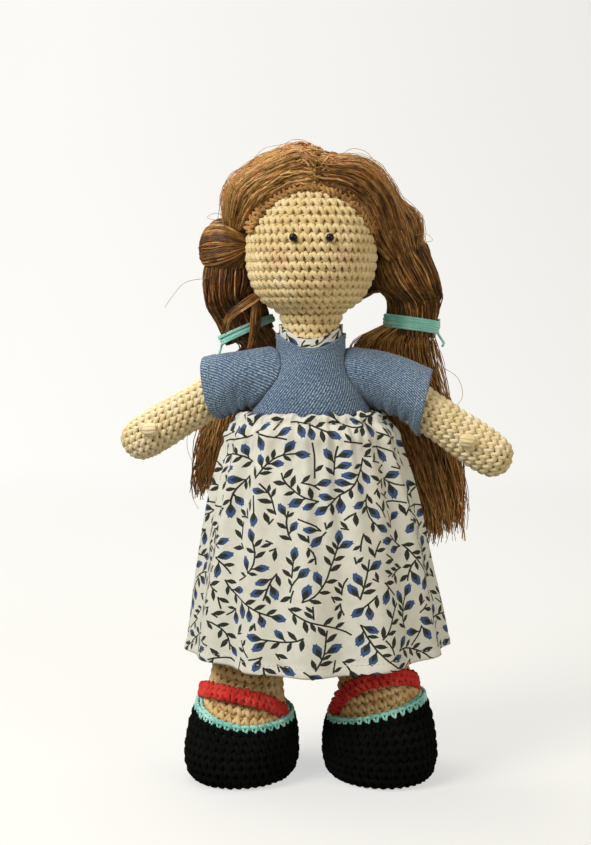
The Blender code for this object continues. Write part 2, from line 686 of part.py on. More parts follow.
def make_buttons(body):
    """Two buttons down the back slit, standing clear of the leaning cloth."""
    for name, share in zip(("upper_button", "lower_button"), BUTTON_LEVEL_SHARES):
        wide, deep = torso_half_sizes(share)
        face = deep + CLOTH + 2 * GAP + BUTTON_RADIUS * abs(torso_slope(share))
        height = TORSO_FOOT + TORSO_HEIGHT * share
        places = [Vector((0, face, height)), Vector((0, face + BUTTON_THICKNESS, height))]
        rings = [ring(p, Vector((BUTTON_RADIUS, 0, 0)), UP * BUTTON_RADIUS, 16) for p in places]
        finish_piece(name, solid(name, rings), material(f"{name}_horn", BUTTON_WHITE, 0.4), body)


def torso_slope(share):
    """How steeply the torso's back leans in at a level, as depth over height."""
    step = 0.05
    rise = TORSO_HEIGHT * step * 2
    return (torso_half_sizes(share + step)[1] - torso_half_sizes(share - step)[1]) / rise


def skirt_rings(grow):
    """The gathered skirt, from the waist seam down to the hem."""
    start_wide = torso_half_sizes(WAIST_SHARE)[0] + CLOTH + 3 * GAP + SKIRT_GATHER
    start_deep = torso_half_sizes(WAIST_SHARE)[1] + CLOTH + 3 * GAP + SKIRT_GATHER
    rings = []
    for share in SKIRT_LEVEL_SHARES:
        flare = share**SKIRT_FLARE_POWER
        wide = start_wide + (HEM_HALF_WIDTH - start_wide) * flare + grow
        deep = start_deep + (HEM_HALF_DEPTH - start_deep) * flare + grow
        centre = Vector((0, 0, WAIST - SKIRT_LENGTH * share))
        points = []
        for k in range(SKIRT_SEGMENTS):
            angle = math.tau * k / SKIRT_SEGMENTS
            wave = math.cos(SKIRT_FOLDS * angle + 0.7 * math.sin(3 * angle))
            fold = SKIRT_GATHER * (1 - share) + SKIRT_FOLD_DEPTH * share
            outward = Vector((math.cos(angle), math.sin(angle), 0))
            points.append(centre + Vector((wide * outward.x, deep * outward.y, 0)) + outward * (fold * wave))
        rings.append(points)
    return rings


def make_skirt(body):
    cotton = material("skirt_cotton", PRINT_GROUND, 0.9)
    finish_piece("skirt", tube("skirt", skirt_rings(CLOTH), skirt_rings(0)), cotton, body)


# Arms
def arm_axes(side):
    """The way along an arm, the way across it to the front, and the way up."""
    turn = Matrix.Rotation(side * ARM_BACKWARD[side], 3, "Z")
    out = turn @ Vector((side, 0, 0))
    along = out * math.cos(ARM_DROOP[side]) - UP * math.sin(ARM_DROOP[side])
    front = turn @ -BACK
    return along, front, along.cross(front).normalized() * -side


def arm_rings(side, grow):
    """An arm from the round end at the shoulder to the hand, `grow` bigger all round."""
    along, front, up = arm_axes(side)
    root = shoulder(side)
    radius = ARM_ROOT_RADIUS + grow
    mouth = math.asin(ARM_MOUTH_RADIUS / ARM_ROOT_RADIUS)
    places = []
    for share in ROUND_END_SHARES:
        turn = mouth + (math.pi / 2 - mouth) * share
        places.append((-radius * math.cos(turn), radius * math.sin(turn)))
    for reach, wide in ARM_TAPER_SHARES:
        places.append(((ARM_LENGTH[side] + grow) * reach, ARM_RADIUS * wide + grow))
    return [ring(root + along * d, front * r, up * r, LIMB_SEGMENTS["arm"]) for d, r in places]


def make_arm(side, body):
    name = SIDE_NAMES[side]
    yarn = material(f"{name}_arm_cotton", CREAM, 0.85)
    inner = fewer(arm_rings(side, -CROCHET_WALL))
    finish_piece(f"{name}_arm_cover", cup("arm", arm_rings(side, 0), inner), yarn, body)
    core = solid("arm_stuffing", fewer(arm_rings(side, -CROCHET_WALL - GAP)))
    filling = material(f"{name}_arm_fibre", WHITE_FIBRE, 0.95)
    finish_piece(f"{name}_arm_stuffing", core, filling, body)

    along, front, up = arm_axes(side)
    place = shoulder(side) + along * THUMB_REACH + front * ARM_RADIUS
    nub = ball("thumb", place, [THUMB_RADIUS] * 3, 12, 6)
    thumb = finish_piece(f"{name}_thumb", nub, material(f"{name}_thumb_cotton", CREAM, 0.85), body)
    room = make_cutter(f"{name}_arm_room", solid("arm_room", arm_rings(side, GAP)))
    combine(thumb, room, "DIFFERENCE")


# Legs and shoes
def ankle(side):
    return Vector((side * ANKLE_HALF_SPACING, 0, ANKLE_HEIGHT))


def toe_axes(side):
    """The way across a foot and the way to its heel, turned out at the toes."""
    turn = Matrix.Rotation(side * SHOE_TOE_OUT, 3, "Z")
    return turn @ Vector((side, 0, 0)), turn @ BACK


def shoe_ring(side, level, grow, segments, lift=0.0):
    """A level line round a shoe. `level` is a share of its height, and the rim dips at the toes."""
    across, heel = toe_axes(side)
    plan = float(np.interp(level, *zip(*SHOE_PROFILE_SHARES)))
    back = SHOE_RIM_SETBACK * level**3
    wide = SHOE_HALF_WIDTH * plan + grow
    long = SHOE_HALF_LENGTH * plan + grow
    foot = Vector((side * ANKLE_HALF_SPACING, 0, 0))
    centre = foot + heel * (back - SHOE_FORWARD) + UP * (SHOE_HEIGHT * level + lift)
    points = ring(centre, across * wide, heel * long, segments)
    for k in range(segments):
        toward_toes = max(0.0, -math.sin(math.tau * k / segments))
        points[k] -= UP * (SHOE_FRONT_DIP * level**4 * toward_toes)
    return points


def leg_rings(side, grow):
    """A leg from its round top at the hip to the sole of the foot, `grow` bigger all round."""
    hip = Vector((side * HIP_HALF_SPACING, 0, HIP_HEIGHT))
    along = (ankle(side) - hip).normalized()
    across = BACK.cross(along).normalized() * -side
    radius = LEG_TOP_RADIUS + grow
    mouth = math.asin(LEG_MOUTH_RADIUS / LEG_TOP_RADIUS)
    places = []
    for share in ROUND_END_SHARES:
        turn = mouth + (math.pi / 2 - mouth) * share
        places.append((-radius * math.cos(turn), radius * math.sin(turn)))
    length = (ankle(side) - hip).length
    for reach, wide in LEG_TAPER_SHARES:
        places.append((length * reach, LEG_RADIUS * wide + grow))
    segments = LIMB_SEGMENTS["leg"]
    rings = [ring(hip + along * d, across * r, BACK * r, segments) for d, r in places]
    floor = SHOE_SOLE + GAP - grow
    for level in (*FOOT_LEVEL_SHARES, floor / SHOE_HEIGHT):
        rings.append(shoe_ring(side, level, grow - SHOE_WALL - GAP, segments))
    return rings


def make_leg(side, body):
    name = SIDE_NAMES[side]
    yarn = material(f"{name}_leg_cotton", LEG_TAN, 0.85)
    filling = material(f"{name}_leg_fibre", WHITE_FIBRE, 0.95)
    inner = fewer(leg_rings(side, -CROCHET_WALL))
    finish_piece(f"{name}_leg_cover", cup("leg", leg_rings(side, 0), inner), yarn, body)
    stuffing = fewer(leg_rings(side, -CROCHET_WALL - GAP))
    board = UP * (INSOLE_THICKNESS + GAP)
    stuffing[-1] = [point + board for point in stuffing[-1]]
    finish_piece(f"{name}_leg_stuffing", solid("leg_stuffing", stuffing), filling, body)

    under = leg_rings(side, -CROCHET_WALL - GAP)[-1]
    layers = [under, [point + UP * INSOLE_THICKNESS for point in under]]
    card = material(f"{name}_insole_card", CARD_BROWN, 0.8)
    finish_piece(f"{name}_insole", solid("insole", layers), card, body)


def make_shoe(side, body):
    name = SIDE_NAMES[side]
    black = material(f"{name}_shoe_cotton", SHOE_BLACK, 0.85)
    levels = [level for level, plan in reversed(SHOE_PROFILE_SHARES)]
    outer = [shoe_ring(side, level, 0, SHOE_SEGMENTS) for level in levels]
    floor = SHOE_SOLE / SHOE_HEIGHT
    levels = [level for level in levels if level > floor] + [floor]
    inner = [shoe_ring(side, level, -SHOE_WALL, SHOE_SEGMENTS) for level in levels]
    finish_piece(f"{name}_shoe", cup("shoe", outer, inner), black, body)

    mint = material(f"{name}_edging_cotton", MINT, 0.8)
    middle = shoe_ring(side, 1.0, -SHOE_WALL / 2, EDGING_SEGMENTS, GAP + EDGING_RADIUS)
    finish_piece(f"{name}_shoe_edging", cord_loop("edging", middle, EDGING_RADIUS), mint, body)

    red = material(f"{name}_strap_cotton", STRAP_RED, 0.8)
    finish_piece(f"{name}_ankle_strap", ankle_strap(side), red, body)


def cord_loop(name, middle, radius):
    """A round cord that closes on itself along a list of points."""
    centre = sum(middle, Vector()) / len(middle)
    rings = []
    for point in middle:
        outward = point - centre
        outward.z = 0
        rings.append(ring(point, outward.normalized() * radius, UP * radius, 5))
    return loop_tube(name, rings)


def ankle_strap(side):
    """A flat band over the instep, from the rim at one side up in front of the ankle to the other."""
    across, heel = toe_axes(side)
    foot = Vector((side * ANKLE_HALF_SPACING, 0, 0)) - heel * STRAP_FORWARD
    low = SHOE_HEIGHT + 2 * GAP + 2 * EDGING_RADIUS + STRAP_HALF_HEIGHT
    strap_radius = LEG_RADIUS + STRAP_SLACK + STRAP_HALF_THICKNESS
    half_width = SHOE_HALF_WIDTH * SHOE_PROFILE_SHARES[-1][1] - SHOE_WALL / 2
    rings = []
    for k in range(STRAP_STEPS + 1):
        turn = STRAP_SWEEP * (2 * k / STRAP_STEPS - 1)
        lift = STRAP_RISE * max(0.0, math.cos(turn)) ** 0.8
        out = across * math.sin(turn) - heel * math.cos(turn)
        reach = strap_radius + (half_width - strap_radius) * abs(math.sin(turn)) ** 3
        centre = foot + UP * (low + lift) + out * reach
        rings.append(ring(centre, out * STRAP_HALF_THICKNESS, UP * STRAP_HALF_HEIGHT, 8))
    return solid("ankle_strap", rings)


def build():
    clear_scene()
    torso = pivot("torso_pivot", (0, 0, TORSO_FOOT))
    head = pivot("head_pivot", (0, 0, NECK_FOOT))
    hips = pivot("hip_pivot", (0, 0, HIP_HEIGHT))
    make_torso(torso)
    make_bodice(torso)
    make_facing(torso)
    make_buttons(torso)
    make_skirt(torso)
    make_head(head)
    make_hair(head)
    make_hair_ties(head)
    for side, name in SIDE_NAMES.items():
        make_tail(side, pivot(f"{name}_tail_pivot", tail_pivot(side)))
        make_arm(side, pivot(f"{name}_shoulder_pivot", shoulder(side)))
        make_leg(side, hips)
        make_shoe(side, hips)
        print(f"{name} tail pivot {tuple(round(v, 5) for v in tail_pivot(side))}")
        print(f"{name} shoulder {tuple(round(v, 5) for v in shoulder(side))}")
        print(f"{name} arm axes {[tuple(round(v, 4) for v in axis) for axis in arm_axes(side)]}")


build()
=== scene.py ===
# %% [markdown]
# # A crocheted doll with pigtails
#
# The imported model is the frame: closed solids for the skins, the dress, the hair and the shoes.
# This file dresses it. The doll is made of very few kinds of thing, cotton yarn in crochet
# stitches, combed yarn, denim and printed cotton, so most cells make one kind of thing well
# and then lay it along a surface or a path.

# %% Load the frame
import math

import bmesh
import bpy
import numpy as np
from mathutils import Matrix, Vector
from mathutils.geometry import delaunay_2d_cdt


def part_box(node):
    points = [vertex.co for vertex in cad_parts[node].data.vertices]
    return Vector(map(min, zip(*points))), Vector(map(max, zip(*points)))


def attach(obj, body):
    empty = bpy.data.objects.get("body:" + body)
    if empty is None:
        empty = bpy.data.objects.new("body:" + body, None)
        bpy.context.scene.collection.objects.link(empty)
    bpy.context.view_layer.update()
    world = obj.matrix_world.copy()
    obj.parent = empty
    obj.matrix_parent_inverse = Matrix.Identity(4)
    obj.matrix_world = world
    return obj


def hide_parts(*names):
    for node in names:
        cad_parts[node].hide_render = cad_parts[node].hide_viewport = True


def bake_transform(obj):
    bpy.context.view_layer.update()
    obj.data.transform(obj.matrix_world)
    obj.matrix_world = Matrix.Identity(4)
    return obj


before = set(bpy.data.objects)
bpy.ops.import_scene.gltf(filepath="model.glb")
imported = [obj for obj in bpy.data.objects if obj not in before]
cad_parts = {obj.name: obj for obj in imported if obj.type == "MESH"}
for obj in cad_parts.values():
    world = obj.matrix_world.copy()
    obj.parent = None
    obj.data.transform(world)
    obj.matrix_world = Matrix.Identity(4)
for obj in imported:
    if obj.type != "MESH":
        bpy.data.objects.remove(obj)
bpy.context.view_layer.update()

# %% [markdown]
# ## Colours and nodes
#
# Colours are written as the sRGB hex values that a colour picker shows. A shader works on
# linear light, so one function turns a hex value into that. Materials are small node trees,
# and one function adds a node, sets it and links it.

# %% A hex colour as linear light
def linear(hex_colour):
    parts = [int(hex_colour[i:i + 2], 16) / 255 for i in (0, 2, 4)]
    return [c / 12.92 if c <= 0.04045 else ((c + 0.055) / 1.055) ** 2.4 for c in parts] + [1.0]


# %% Add a node with its settings and links
def set_inputs(node, inputs):
    """An input is a value, a socket to link from, or a node whose first output is linked."""
    for name, value in inputs.items():
        if isinstance(value, bpy.types.Node):
            value = value.outputs[0]
        if isinstance(value, bpy.types.NodeSocket):
            node.id_data.links.new(value, node.inputs[name])
        else:
            node.inputs[name].default_value = value


def add_node(tree, kind, inputs={}, stops=(), **settings):
    """Inputs are named or counted. `stops` are places and hex colours, for a node that has a band."""
    node = tree.nodes.new(kind)
    for name, value in settings.items():
        setattr(node, name, value)
    set_inputs(node, inputs)
    for _ in stops[2:]:
        node.color_ramp.elements.new(0.5)
    for k, (place, colour) in enumerate(stops):
        node.color_ramp.elements[k].position = place
        node.color_ramp.elements[k].color = linear(colour)
    return node


# %% Start a material
def start_material(name, roughness, sheen=0.0, coat=0.0, colour=None, specular=None):
    material = bpy.data.materials.new(name)
    material.use_nodes = True
    shader = material.node_tree.nodes["Principled BSDF"]
    set_inputs(shader, {"Roughness": roughness, "Sheen Weight": sheen, "Sheen Roughness": 0.5,
                        "Coat Weight": coat, "Coat Roughness": 0.03})
    if colour:
        shader.inputs["Base Color"].default_value = linear(colour)
    if specular is not None:
        shader.inputs["Specular IOR Level"].default_value = specular
    return material, material.node_tree, shader


# %% [markdown]
# ## Camera, light and floor
#
# The camera stands 0.78 m in front, level with the doll's head, and looks 4.6 degrees down, as the
# photograph was taken. The light is a big soft lamp from the upper left, a weaker one from the
# right, one from above and behind that lights the hair, and a pale sky all round, which is how
# a small toy is lit in a light tent.

# %% The camera
camera_data = bpy.data.cameras.new("camera")
camera_data.sensor_fit = "VERTICAL"
camera_data.angle = math.radians(28.9)
camera_data.clip_start = 0.02
camera = bpy.data.objects.new("camera", camera_data)
camera.location = (-0.0073, -0.78, 0.231)
camera.rotation_euler = (math.radians(85.4), 0, 0)
bpy.context.scene.collection.objects.link(camera)
bpy.context.scene.camera = camera
print(f"the camera is {abs(camera.location.y):.2f} m in front of the doll")


# %% The lamps and the sky
def add_lamp(name, place, target, size, power, colour="FFFFFF"):
    lamp = bpy.data.lights.new(name, "AREA")
    lamp.shape = "DISK"
    lamp.size = size
    lamp.energy = power
    lamp.color = linear(colour)[:3]
    holder = bpy.data.objects.new(name, lamp)
    holder.location = place
    holder.rotation_euler = (Vector(target) - Vector(place)).to_track_quat("-Z", "Y").to_euler()
    bpy.context.scene.collection.objects.link(holder)


add_lamp("key_lamp", (-0.70, -0.55, 0.95), (0, 0, 0.17), 0.60, 13.3, "FFFDF8")
add_lamp("fill_lamp", (0.85, -0.75, 0.40), (0, 0, 0.15), 0.70, 3.6, "FFF6E4")
add_lamp("top_lamp", (-0.12, 0.36, 1.05), (0, 0, 0.1), 0.60, 7.6, "FFFDF8")

world = bpy.data.worlds.new("pale_sky")
world.use_nodes = True
bpy.context.scene.world = world
seen = add_node(world.node_tree, "ShaderNodeLightPath").outputs["Is Camera Ray"]
sky_colour = add_node(world.node_tree, "ShaderNodeMix", {0: seen, 6: linear("F5EEDC"), 7: linear("FCFCFA")},
                      data_type="RGBA")
sky_strength = add_node(world.node_tree, "ShaderNodeMapRange", {"Value": seen, "To Min": 0.45, "To Max": 1.0})
set_inputs(world.node_tree.nodes["Background"], {"Color": sky_colour.outputs[2], "Strength": sky_strength})
bpy.context.scene.view_settings.view_transform = "Standard"
print("lamps:", [lamp.name for lamp in bpy.data.lights])


# %% Meshes and objects
def new_mesh(name, points, faces, uvs=()):
    mesh = bpy.data.meshes.new(name)
    mesh.from_pydata([tuple(p) for p in points], [], faces)
    if len(uvs):
        mesh.uv_layers.new(name="UVMap").data.foreach_set("uv", np.array(uvs, np.float32).ravel())
    mesh.shade_smooth()
    return mesh


def link_object(name, mesh, *materials):
    for material in materials:
        mesh.materials.append(material)
    thing = bpy.data.objects.new(name, mesh)
    bpy.context.scene.collection.objects.link(thing)
    return thing


# %% The floor, which runs up into the backdrop
def make_sweep():
    bend = 0.9
    turns = np.linspace(0, math.pi / 2, 13)
    curve = [(1.1 + bend * math.sin(a), bend - bend * math.cos(a)) for a in turns]
    profile = [(-2.5, 0.0)] + curve + [(2.0, 3.2)]
    points = [(x, y, z) for y, z in profile for x in (-3.0, 3.0)]
    faces = [(2 * k, 2 * k + 1, 2 * k + 3, 2 * k + 2) for k in range(len(profile) - 1)]
    # Matt white paper. Part of it glows to the camera alone, more towards the backdrop and to the
    # left, so that it is as pale as in the photograph while the doll's shadow still falls on it.
    material, tree, shader = start_material("white_paper", 0.95, colour="8C8B86", specular=0.1)
    place = add_node(tree, "ShaderNodeTexCoord").outputs["Object"]
    parts = add_node(tree, "ShaderNodeSeparateXYZ", {"Vector": place}).outputs
    behind = add_node(tree, "ShaderNodeMapRange", {
        "Value": parts["Y"], "From Min": 0.3, "From Max": 1.25, "To Min": 0.60, "To Max": 0.80})
    aside = add_node(tree, "ShaderNodeMapRange", {
        "Value": parts["X"], "From Min": -0.4, "From Max": 0.6, "To Min": 1.05, "To Max": 0.88})
    both = add_node(tree, "ShaderNodeMath", {0: behind, 1: aside}, operation="MULTIPLY")
    seen = add_node(tree, "ShaderNodeLightPath").outputs["Is Camera Ray"]
    glow = add_node(tree, "ShaderNodeMath", {0: seen, 1: both}, operation="MULTIPLY")
    set_inputs(shader, {"Emission Color": linear("FEFEFD"), "Emission Strength": glow})
    link_object("sweep", new_mesh("sweep", points, faces), material)
    print("floor and backdrop:", len(faces), "faces")


make_sweep()

# %% [markdown]
# ## Lofts
#
# Every skin of the doll is a loft: a row of rings, smoothed into an even surface. The numbers
# are the part's own sizes, so each surface lies where its solid does. A ring is an ellipse, and
# `refine` puts a cubic through the rings and spaces them evenly.

# %% Rings and smooth lofts
UP = np.array([0.0, 0.0, 1.0])
BACK = np.array([0.0, 1.0, 0.0])
SIDES = {1: "left", -1: "right"}


def full_turn(count):
    return np.arange(count) * math.tau / count


def ring(centre, across, along, count):
    turns = full_turn(count)
    return centre + np.outer(np.cos(turns), across) + np.outer(np.sin(turns), along)


def unit(v):
    v = np.asarray(v, float)
    return v / np.maximum(np.linalg.norm(v, axis=-1, keepdims=True), 1e-12)


def lengths_along(rows):
    """How far each point of a path, or each row of points on average, lies from the first."""
    steps = np.linalg.norm(np.diff(rows, axis=0), axis=-1)
    return np.concatenate([[0.0], np.cumsum(steps.reshape(len(steps), -1).mean(1))])


def points_at(at, lengths, values):
    """Values that are known at `lengths` along a path, read at other places."""
    return np.column_stack([np.interp(at, lengths, column) for column in np.transpose(values)])


def refine(stations, count, smooth=True):
    """Rows of points, one row for each station of a loft, respaced evenly along it."""
    rows = np.asarray(stations, float)
    flat = rows.reshape(len(rows), -1)
    steps = np.linalg.norm(rows[1:] - rows[:-1], axis=-1).reshape(len(rows) - 1, -1).mean(1)
    along = np.concatenate([[0.0], np.cumsum(np.maximum(steps, 1e-9))])
    at = np.linspace(0, along[-1], count)
    k = np.clip(np.searchsorted(along, at, side="right") - 1, 0, len(along) - 2)
    gap = (along[k + 1] - along[k])[:, None]
    t = (at - along[k])[:, None] / gap
    if not smooth:
        return (flat[k] * (1 - t) + flat[k + 1] * t).reshape(count, *rows.shape[1:])
    slope = np.gradient(flat, along, axis=0)
    a, b = 2 * t**3 - 3 * t**2 + 1, -2 * t**3 + 3 * t**2
    c, d = t**3 - 2 * t**2 + t, t**3 - t**2
    found = flat[k] * a + flat[k + 1] * b + slope[k] * gap * c + slope[k + 1] * gap * d
    return found.reshape(count, *rows.shape[1:])


# %% A loft closed at both ends, and what every finished piece is told
def edit_mesh(mesh, change):
    """Runs a bmesh operation on a mesh and writes the result back."""
    work = bmesh.new()
    work.from_mesh(mesh)
    change(work)
    work.to_mesh(mesh)
    work.free()
    mesh.shade_smooth()
    return mesh


def loft(name, rings, material):
    rows, count = rings.shape[:2]
    points = list(rings.reshape(-1, 3))
    faces = []
    for j in range(rows - 1):
        for k in range(count):
            low, after = j * count, (k + 1) % count
            faces.append((low + k, low + after, low + count + after, low + count + k))
    for j in (0, rows - 1):
        faces += [(j * count + k, j * count + (k + 1) % count, len(points)) for k in range(count)]
        points.append(rings[j].mean(0))
    mesh = new_mesh(name, points, faces)
    edit_mesh(mesh, lambda work: bmesh.ops.recalc_face_normals(work, faces=work.faces))
    return link_object(name, mesh, material)


def settle(piece, body, slot, *nodes, fill=None):
    """The piece rides on a body and hides the CAD nodes that it stands for; `slot` and `fill` are not used."""
    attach(piece, body)
    if nodes:
        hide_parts(*nodes)
    return piece


# %% [markdown]
# ## Crochet
#
# A single crochet stitch shows as two short legs of yarn that cross at the foot and spread
# towards the next round, with a small dark hole beside them. Drawn as a bump in a material it
# stays flat at the edge of the head, so each stitch here is a real pair of yarn legs of some
# seventy triangles. The rounds run along the loft 4.4 mm apart, with a stitch every 3.9 mm, as cotton
# yarn on a 2.5 mm hook gives. A skin in shadow colour lies just under them, seen in the holes.

# %% Tubes of yarn as one mesh, with a UV map in metres round and along them
def cord_mesh(name, paths, radii, sides=5):
    points, faces, uvs = [], [], []
    turns = full_turn(sides)
    for path, radius in zip(paths, radii):
        path = np.asarray(path, float)
        way = unit(np.gradient(path, axis=0))
        side = np.cross(way[0], [0.31, 0.17, 0.93])
        first, lengths = len(points), lengths_along(path)
        for p, w, r in zip(path, way, np.broadcast_to(np.asarray(radius, float), len(path))):
            side = unit(side - w * (side @ w))
            other = np.cross(w, side)
            points += [p + r * (side * math.cos(a) + other * math.sin(a)) for a in turns]
        for j in range(len(path) - 1):
            low, high = lengths[j], lengths[j + 1]
            for k in range(sides):
                a, b = first + j * sides + k, first + j * sides + (k + 1) % sides
                u, v = k * 0.001, (k + 1) * 0.001
                faces.append((a, b, b + sides, a + sides))
                uvs += [(u, low), (v, low), (v, high), (u, high)]
        last = first + (len(path) - 1) * sides
        faces.append(tuple(range(first + sides - 1, first - 1, -1)))
        faces.append(tuple(range(last, last + sides)))
        uvs += [(0, 0)] * (2 * sides)
    return new_mesh(name, points, faces, uvs)


# %% One single crochet stitch, drawn in millimetres
def stitch_mesh(name):
    """Two legs that meet at the foot, the left one on top, and the loop behind them."""
    over = [(-1.75, 1.95, -0.80), (-1.35, 1.20, 0.22), (-0.55, 0.15, 0.62), (0.25, -1.10, 0.45),
        (0.45, -2.8, -0.75)]
    under = [(1.80, 1.95, -0.90), (1.45, 1.10, 0.08), (0.95, 0.20, 0.38), (0.35, -1.00, 0.10),
        (0.10, -2.7, -0.85)]
    loop = [(-2.0, -1.9, -0.95), (0.0, -1.7, -0.60), (2.0, -1.9, -0.95)]
    swell = np.array([0.80, 1.0, 1.05, 0.98, 0.80]) / 1000
    paths = [np.array(part) / 1000 for part in (over, under, loop)]
    return cord_mesh(name, paths, [swell * 1.22, swell * 1.12, 0.00095], sides=6)


# %% Where the stitches of a loft lie
def crochet_rounds(rings, wide=0.0039, high=0.0044, lean=0.10, keep=None, sink=0.0009):
    """A point, its outward way, its upward way and its size for each stitch."""
    fine = refine(rings, 240, smooth=False)
    along, flat = lengths_along(fine), fine.reshape(len(fine), -1)
    rounds = max(1, round(along[-1] / high))
    parts = []
    for j in range(rounds):
        level = (j + 0.5) / rounds * along[-1]
        below, loop, above = (points_at(np.clip(level + d, 0, along[-1]), along, flat).reshape(-1, 3)
                              for d in (-high / 2, 0, high / 2))
        loop = np.vstack([loop, loop[:1]])
        rise = np.vstack([above - below, (above - below)[:1]])
        lengths = lengths_along(loop)
        count = max(5, round(lengths[-1] / wide))
        at = ((np.arange(count) + lean * j) % count) / count * lengths[-1]
        place = points_at(at, lengths, loop)
        ahead = points_at((at + wide / 4) % lengths[-1], lengths, loop)
        up = unit(points_at(at, lengths, rise))
        out = unit(np.cross(ahead - place, up))
        if ((place - loop.mean(0)) * out).sum(1).mean() < 0 and np.linalg.norm(rise[0]) > 0:
            out = -out
        parts.append((place - out * sink, out, up, np.full(count, lengths[-1] / count / wide)))
    found = [np.concatenate(values) for values in zip(*parts)]
    if keep is not None:
        chosen = keep(found[0])
        found = [values[chosen] for values in found]
    return found


# %% A tree that sets a stitch on every point
def start_tree(name, **inputs):
    """The tree's own inputs, each with its kind and its value, and what they give."""
    tree = bpy.data.node_groups.new(name, "GeometryNodeTree")
    for label, (kind, value) in {"Geometry": ("Geometry", None), **inputs}.items():
        socket = tree.interface.new_socket(label, in_out="INPUT", socket_type="NodeSocket" + kind)
        if value is not None:
            socket.default_value = value
    tree.interface.new_socket("Geometry", in_out="OUTPUT", socket_type="NodeSocketGeometry")
    return tree, add_node(tree, "NodeGroupInput").outputs


def build_stitch_tree():
    tree, given = start_tree("stitches_on_points", Stitch=("Object", None), Yarn=("Material", None),
                             Size=("Float", 1.0), Looseness=("Float", 0.08), Seed=("Int", 1))
    out, up, size = (add_node(tree, "GeometryNodeInputNamedAttribute", {"Name": name}, data_type=kind)
                     for name, kind in (("out", "FLOAT_VECTOR"), ("up", "FLOAT_VECTOR"), ("size", "FLOAT")))
    facing = add_node(tree, "FunctionNodeAxesToRotation", {0: out, 1: up}, primary_axis="Z",
        secondary_axis="Y")
    wobble = add_node(tree, "FunctionNodeRandomValue", {0: (-1, -1, -1), 1: (1, 1, 1), "Seed": given["Seed"]},
                      data_type="FLOAT_VECTOR")
    little = add_node(tree, "ShaderNodeVectorMath", {0: wobble, "Scale": given["Looseness"]},
        operation="SCALE")
    turned = add_node(tree, "FunctionNodeRotateRotation", {"Rotation": facing, "Rotate By": little},
                      rotation_space="LOCAL")
    swell = add_node(tree, "FunctionNodeRandomValue", {2: 0.95, 3: 1.07, "Seed": given["Seed"]},
        data_type="FLOAT")
    sized = add_node(tree, "ShaderNodeMath", {0: size, 1: swell.outputs[1]}, operation="MULTIPLY")
    scaled = add_node(tree, "ShaderNodeMath", {0: sized, 1: given["Size"]}, operation="MULTIPLY")
    stitch = add_node(tree, "GeometryNodeObjectInfo", {"Object": given["Stitch"]}).outputs["Geometry"]
    placed = add_node(tree, "GeometryNodeInstanceOnPoints", {
        "Points": given["Geometry"], "Instance": stitch, "Rotation": turned, "Scale": scaled})
    real = add_node(tree, "GeometryNodeRealizeInstances", {"Geometry": placed})
    done = add_node(tree, "GeometryNodeSetMaterial", {"Geometry": real, "Material": given["Yarn"]})
    add_node(tree, "NodeGroupOutput", {"Geometry": done})
    return tree


stitch_tree = build_stitch_tree()
print("stitch tree:", len(stitch_tree.nodes), "nodes")


# %% Run a tree on points and keep the result as a plain mesh
def grow(name, base, tree, **values):
    """The inputs are set by their sockets' identifiers before the object is first evaluated."""
    carrier = link_object(name + "_carrier", base)
    step = carrier.modifiers.new("grow", "NODES")
    step.node_group = tree
    for socket in tree.interface.items_tree:
        if socket.in_out == "INPUT" and socket.name in values:
            step[socket.identifier] = values[socket.name]
    bpy.context.view_layer.update()
    seen_as = carrier.evaluated_get(bpy.context.evaluated_depsgraph_get())
    mesh = bpy.data.meshes.new_from_object(seen_as)
    mesh.name = name
    carrier.modifiers.clear()
    bpy.data.objects.remove(carrier)
    # What the tree read from the points isn't needed on the piece.
    for extra in ("out", "up", "size", "wide"):
        if extra in mesh.attributes:
            mesh.attributes.remove(mesh.attributes[extra])
    return link_object(name, mesh)


def give_attributes(mesh, **attributes):
    for key, values in attributes.items():
        kind, field = ("FLOAT_VECTOR", "vector") if np.shape(values)[1:] == (3,) else ("FLOAT", "value")
        values = np.asarray(values, np.float32).ravel()
        mesh.attributes.new(key, kind, "POINT").data.foreach_set(field, values)


# Shapes for trees to copy. They are taken out again at the end.
sources = [link_object("single_stitch", stitch_mesh("single_stitch"))]


def crochet(name, found, yarn, seed, size=1.0, stitch=sources[0], looseness=0.08):
    spots, outs, ups, sizes = found
    base = new_mesh(name, spots, [])
    give_attributes(base, out=outs, up=ups, size=sizes)
    piece = grow(name, base, stitch_tree, Stitch=stitch, Yarn=yarn, Size=size, Looseness=looseness, Seed=seed)
    print(f"{name}: {len(spots)} stitches, {len(piece.data.polygons)} faces")
    return piece


def stuffed_skin(name, body, slot, inner, outer, under, yarn, seed, size=1.0, **rounds):
    """A skin in shadow colour that stands for a cover and its stuffing, and the stitches on it."""
    settle(loft(f"{name}_skin", inner, under), body, slot, f"{name}_cover", f"{name}_stuffing", fill=0.9)
    settle(crochet(f"{name}_stitches", crochet_rounds(outer, **rounds), yarn, seed, size), body, slot)


# %% [markdown]
# ## Yarn
#
# The skins are mercerised cotton: three plies twisted together, slightly glossy, so each leg of
# a stitch has faint slanting ridges. The plies are about 0.7 mm wide. The UV map of a tube runs
# along it in metres, so a wave along that map draws them at their real size. Hand-dyed cotton
# varies a little from place to place, and fine fibres catch the light as sheen.

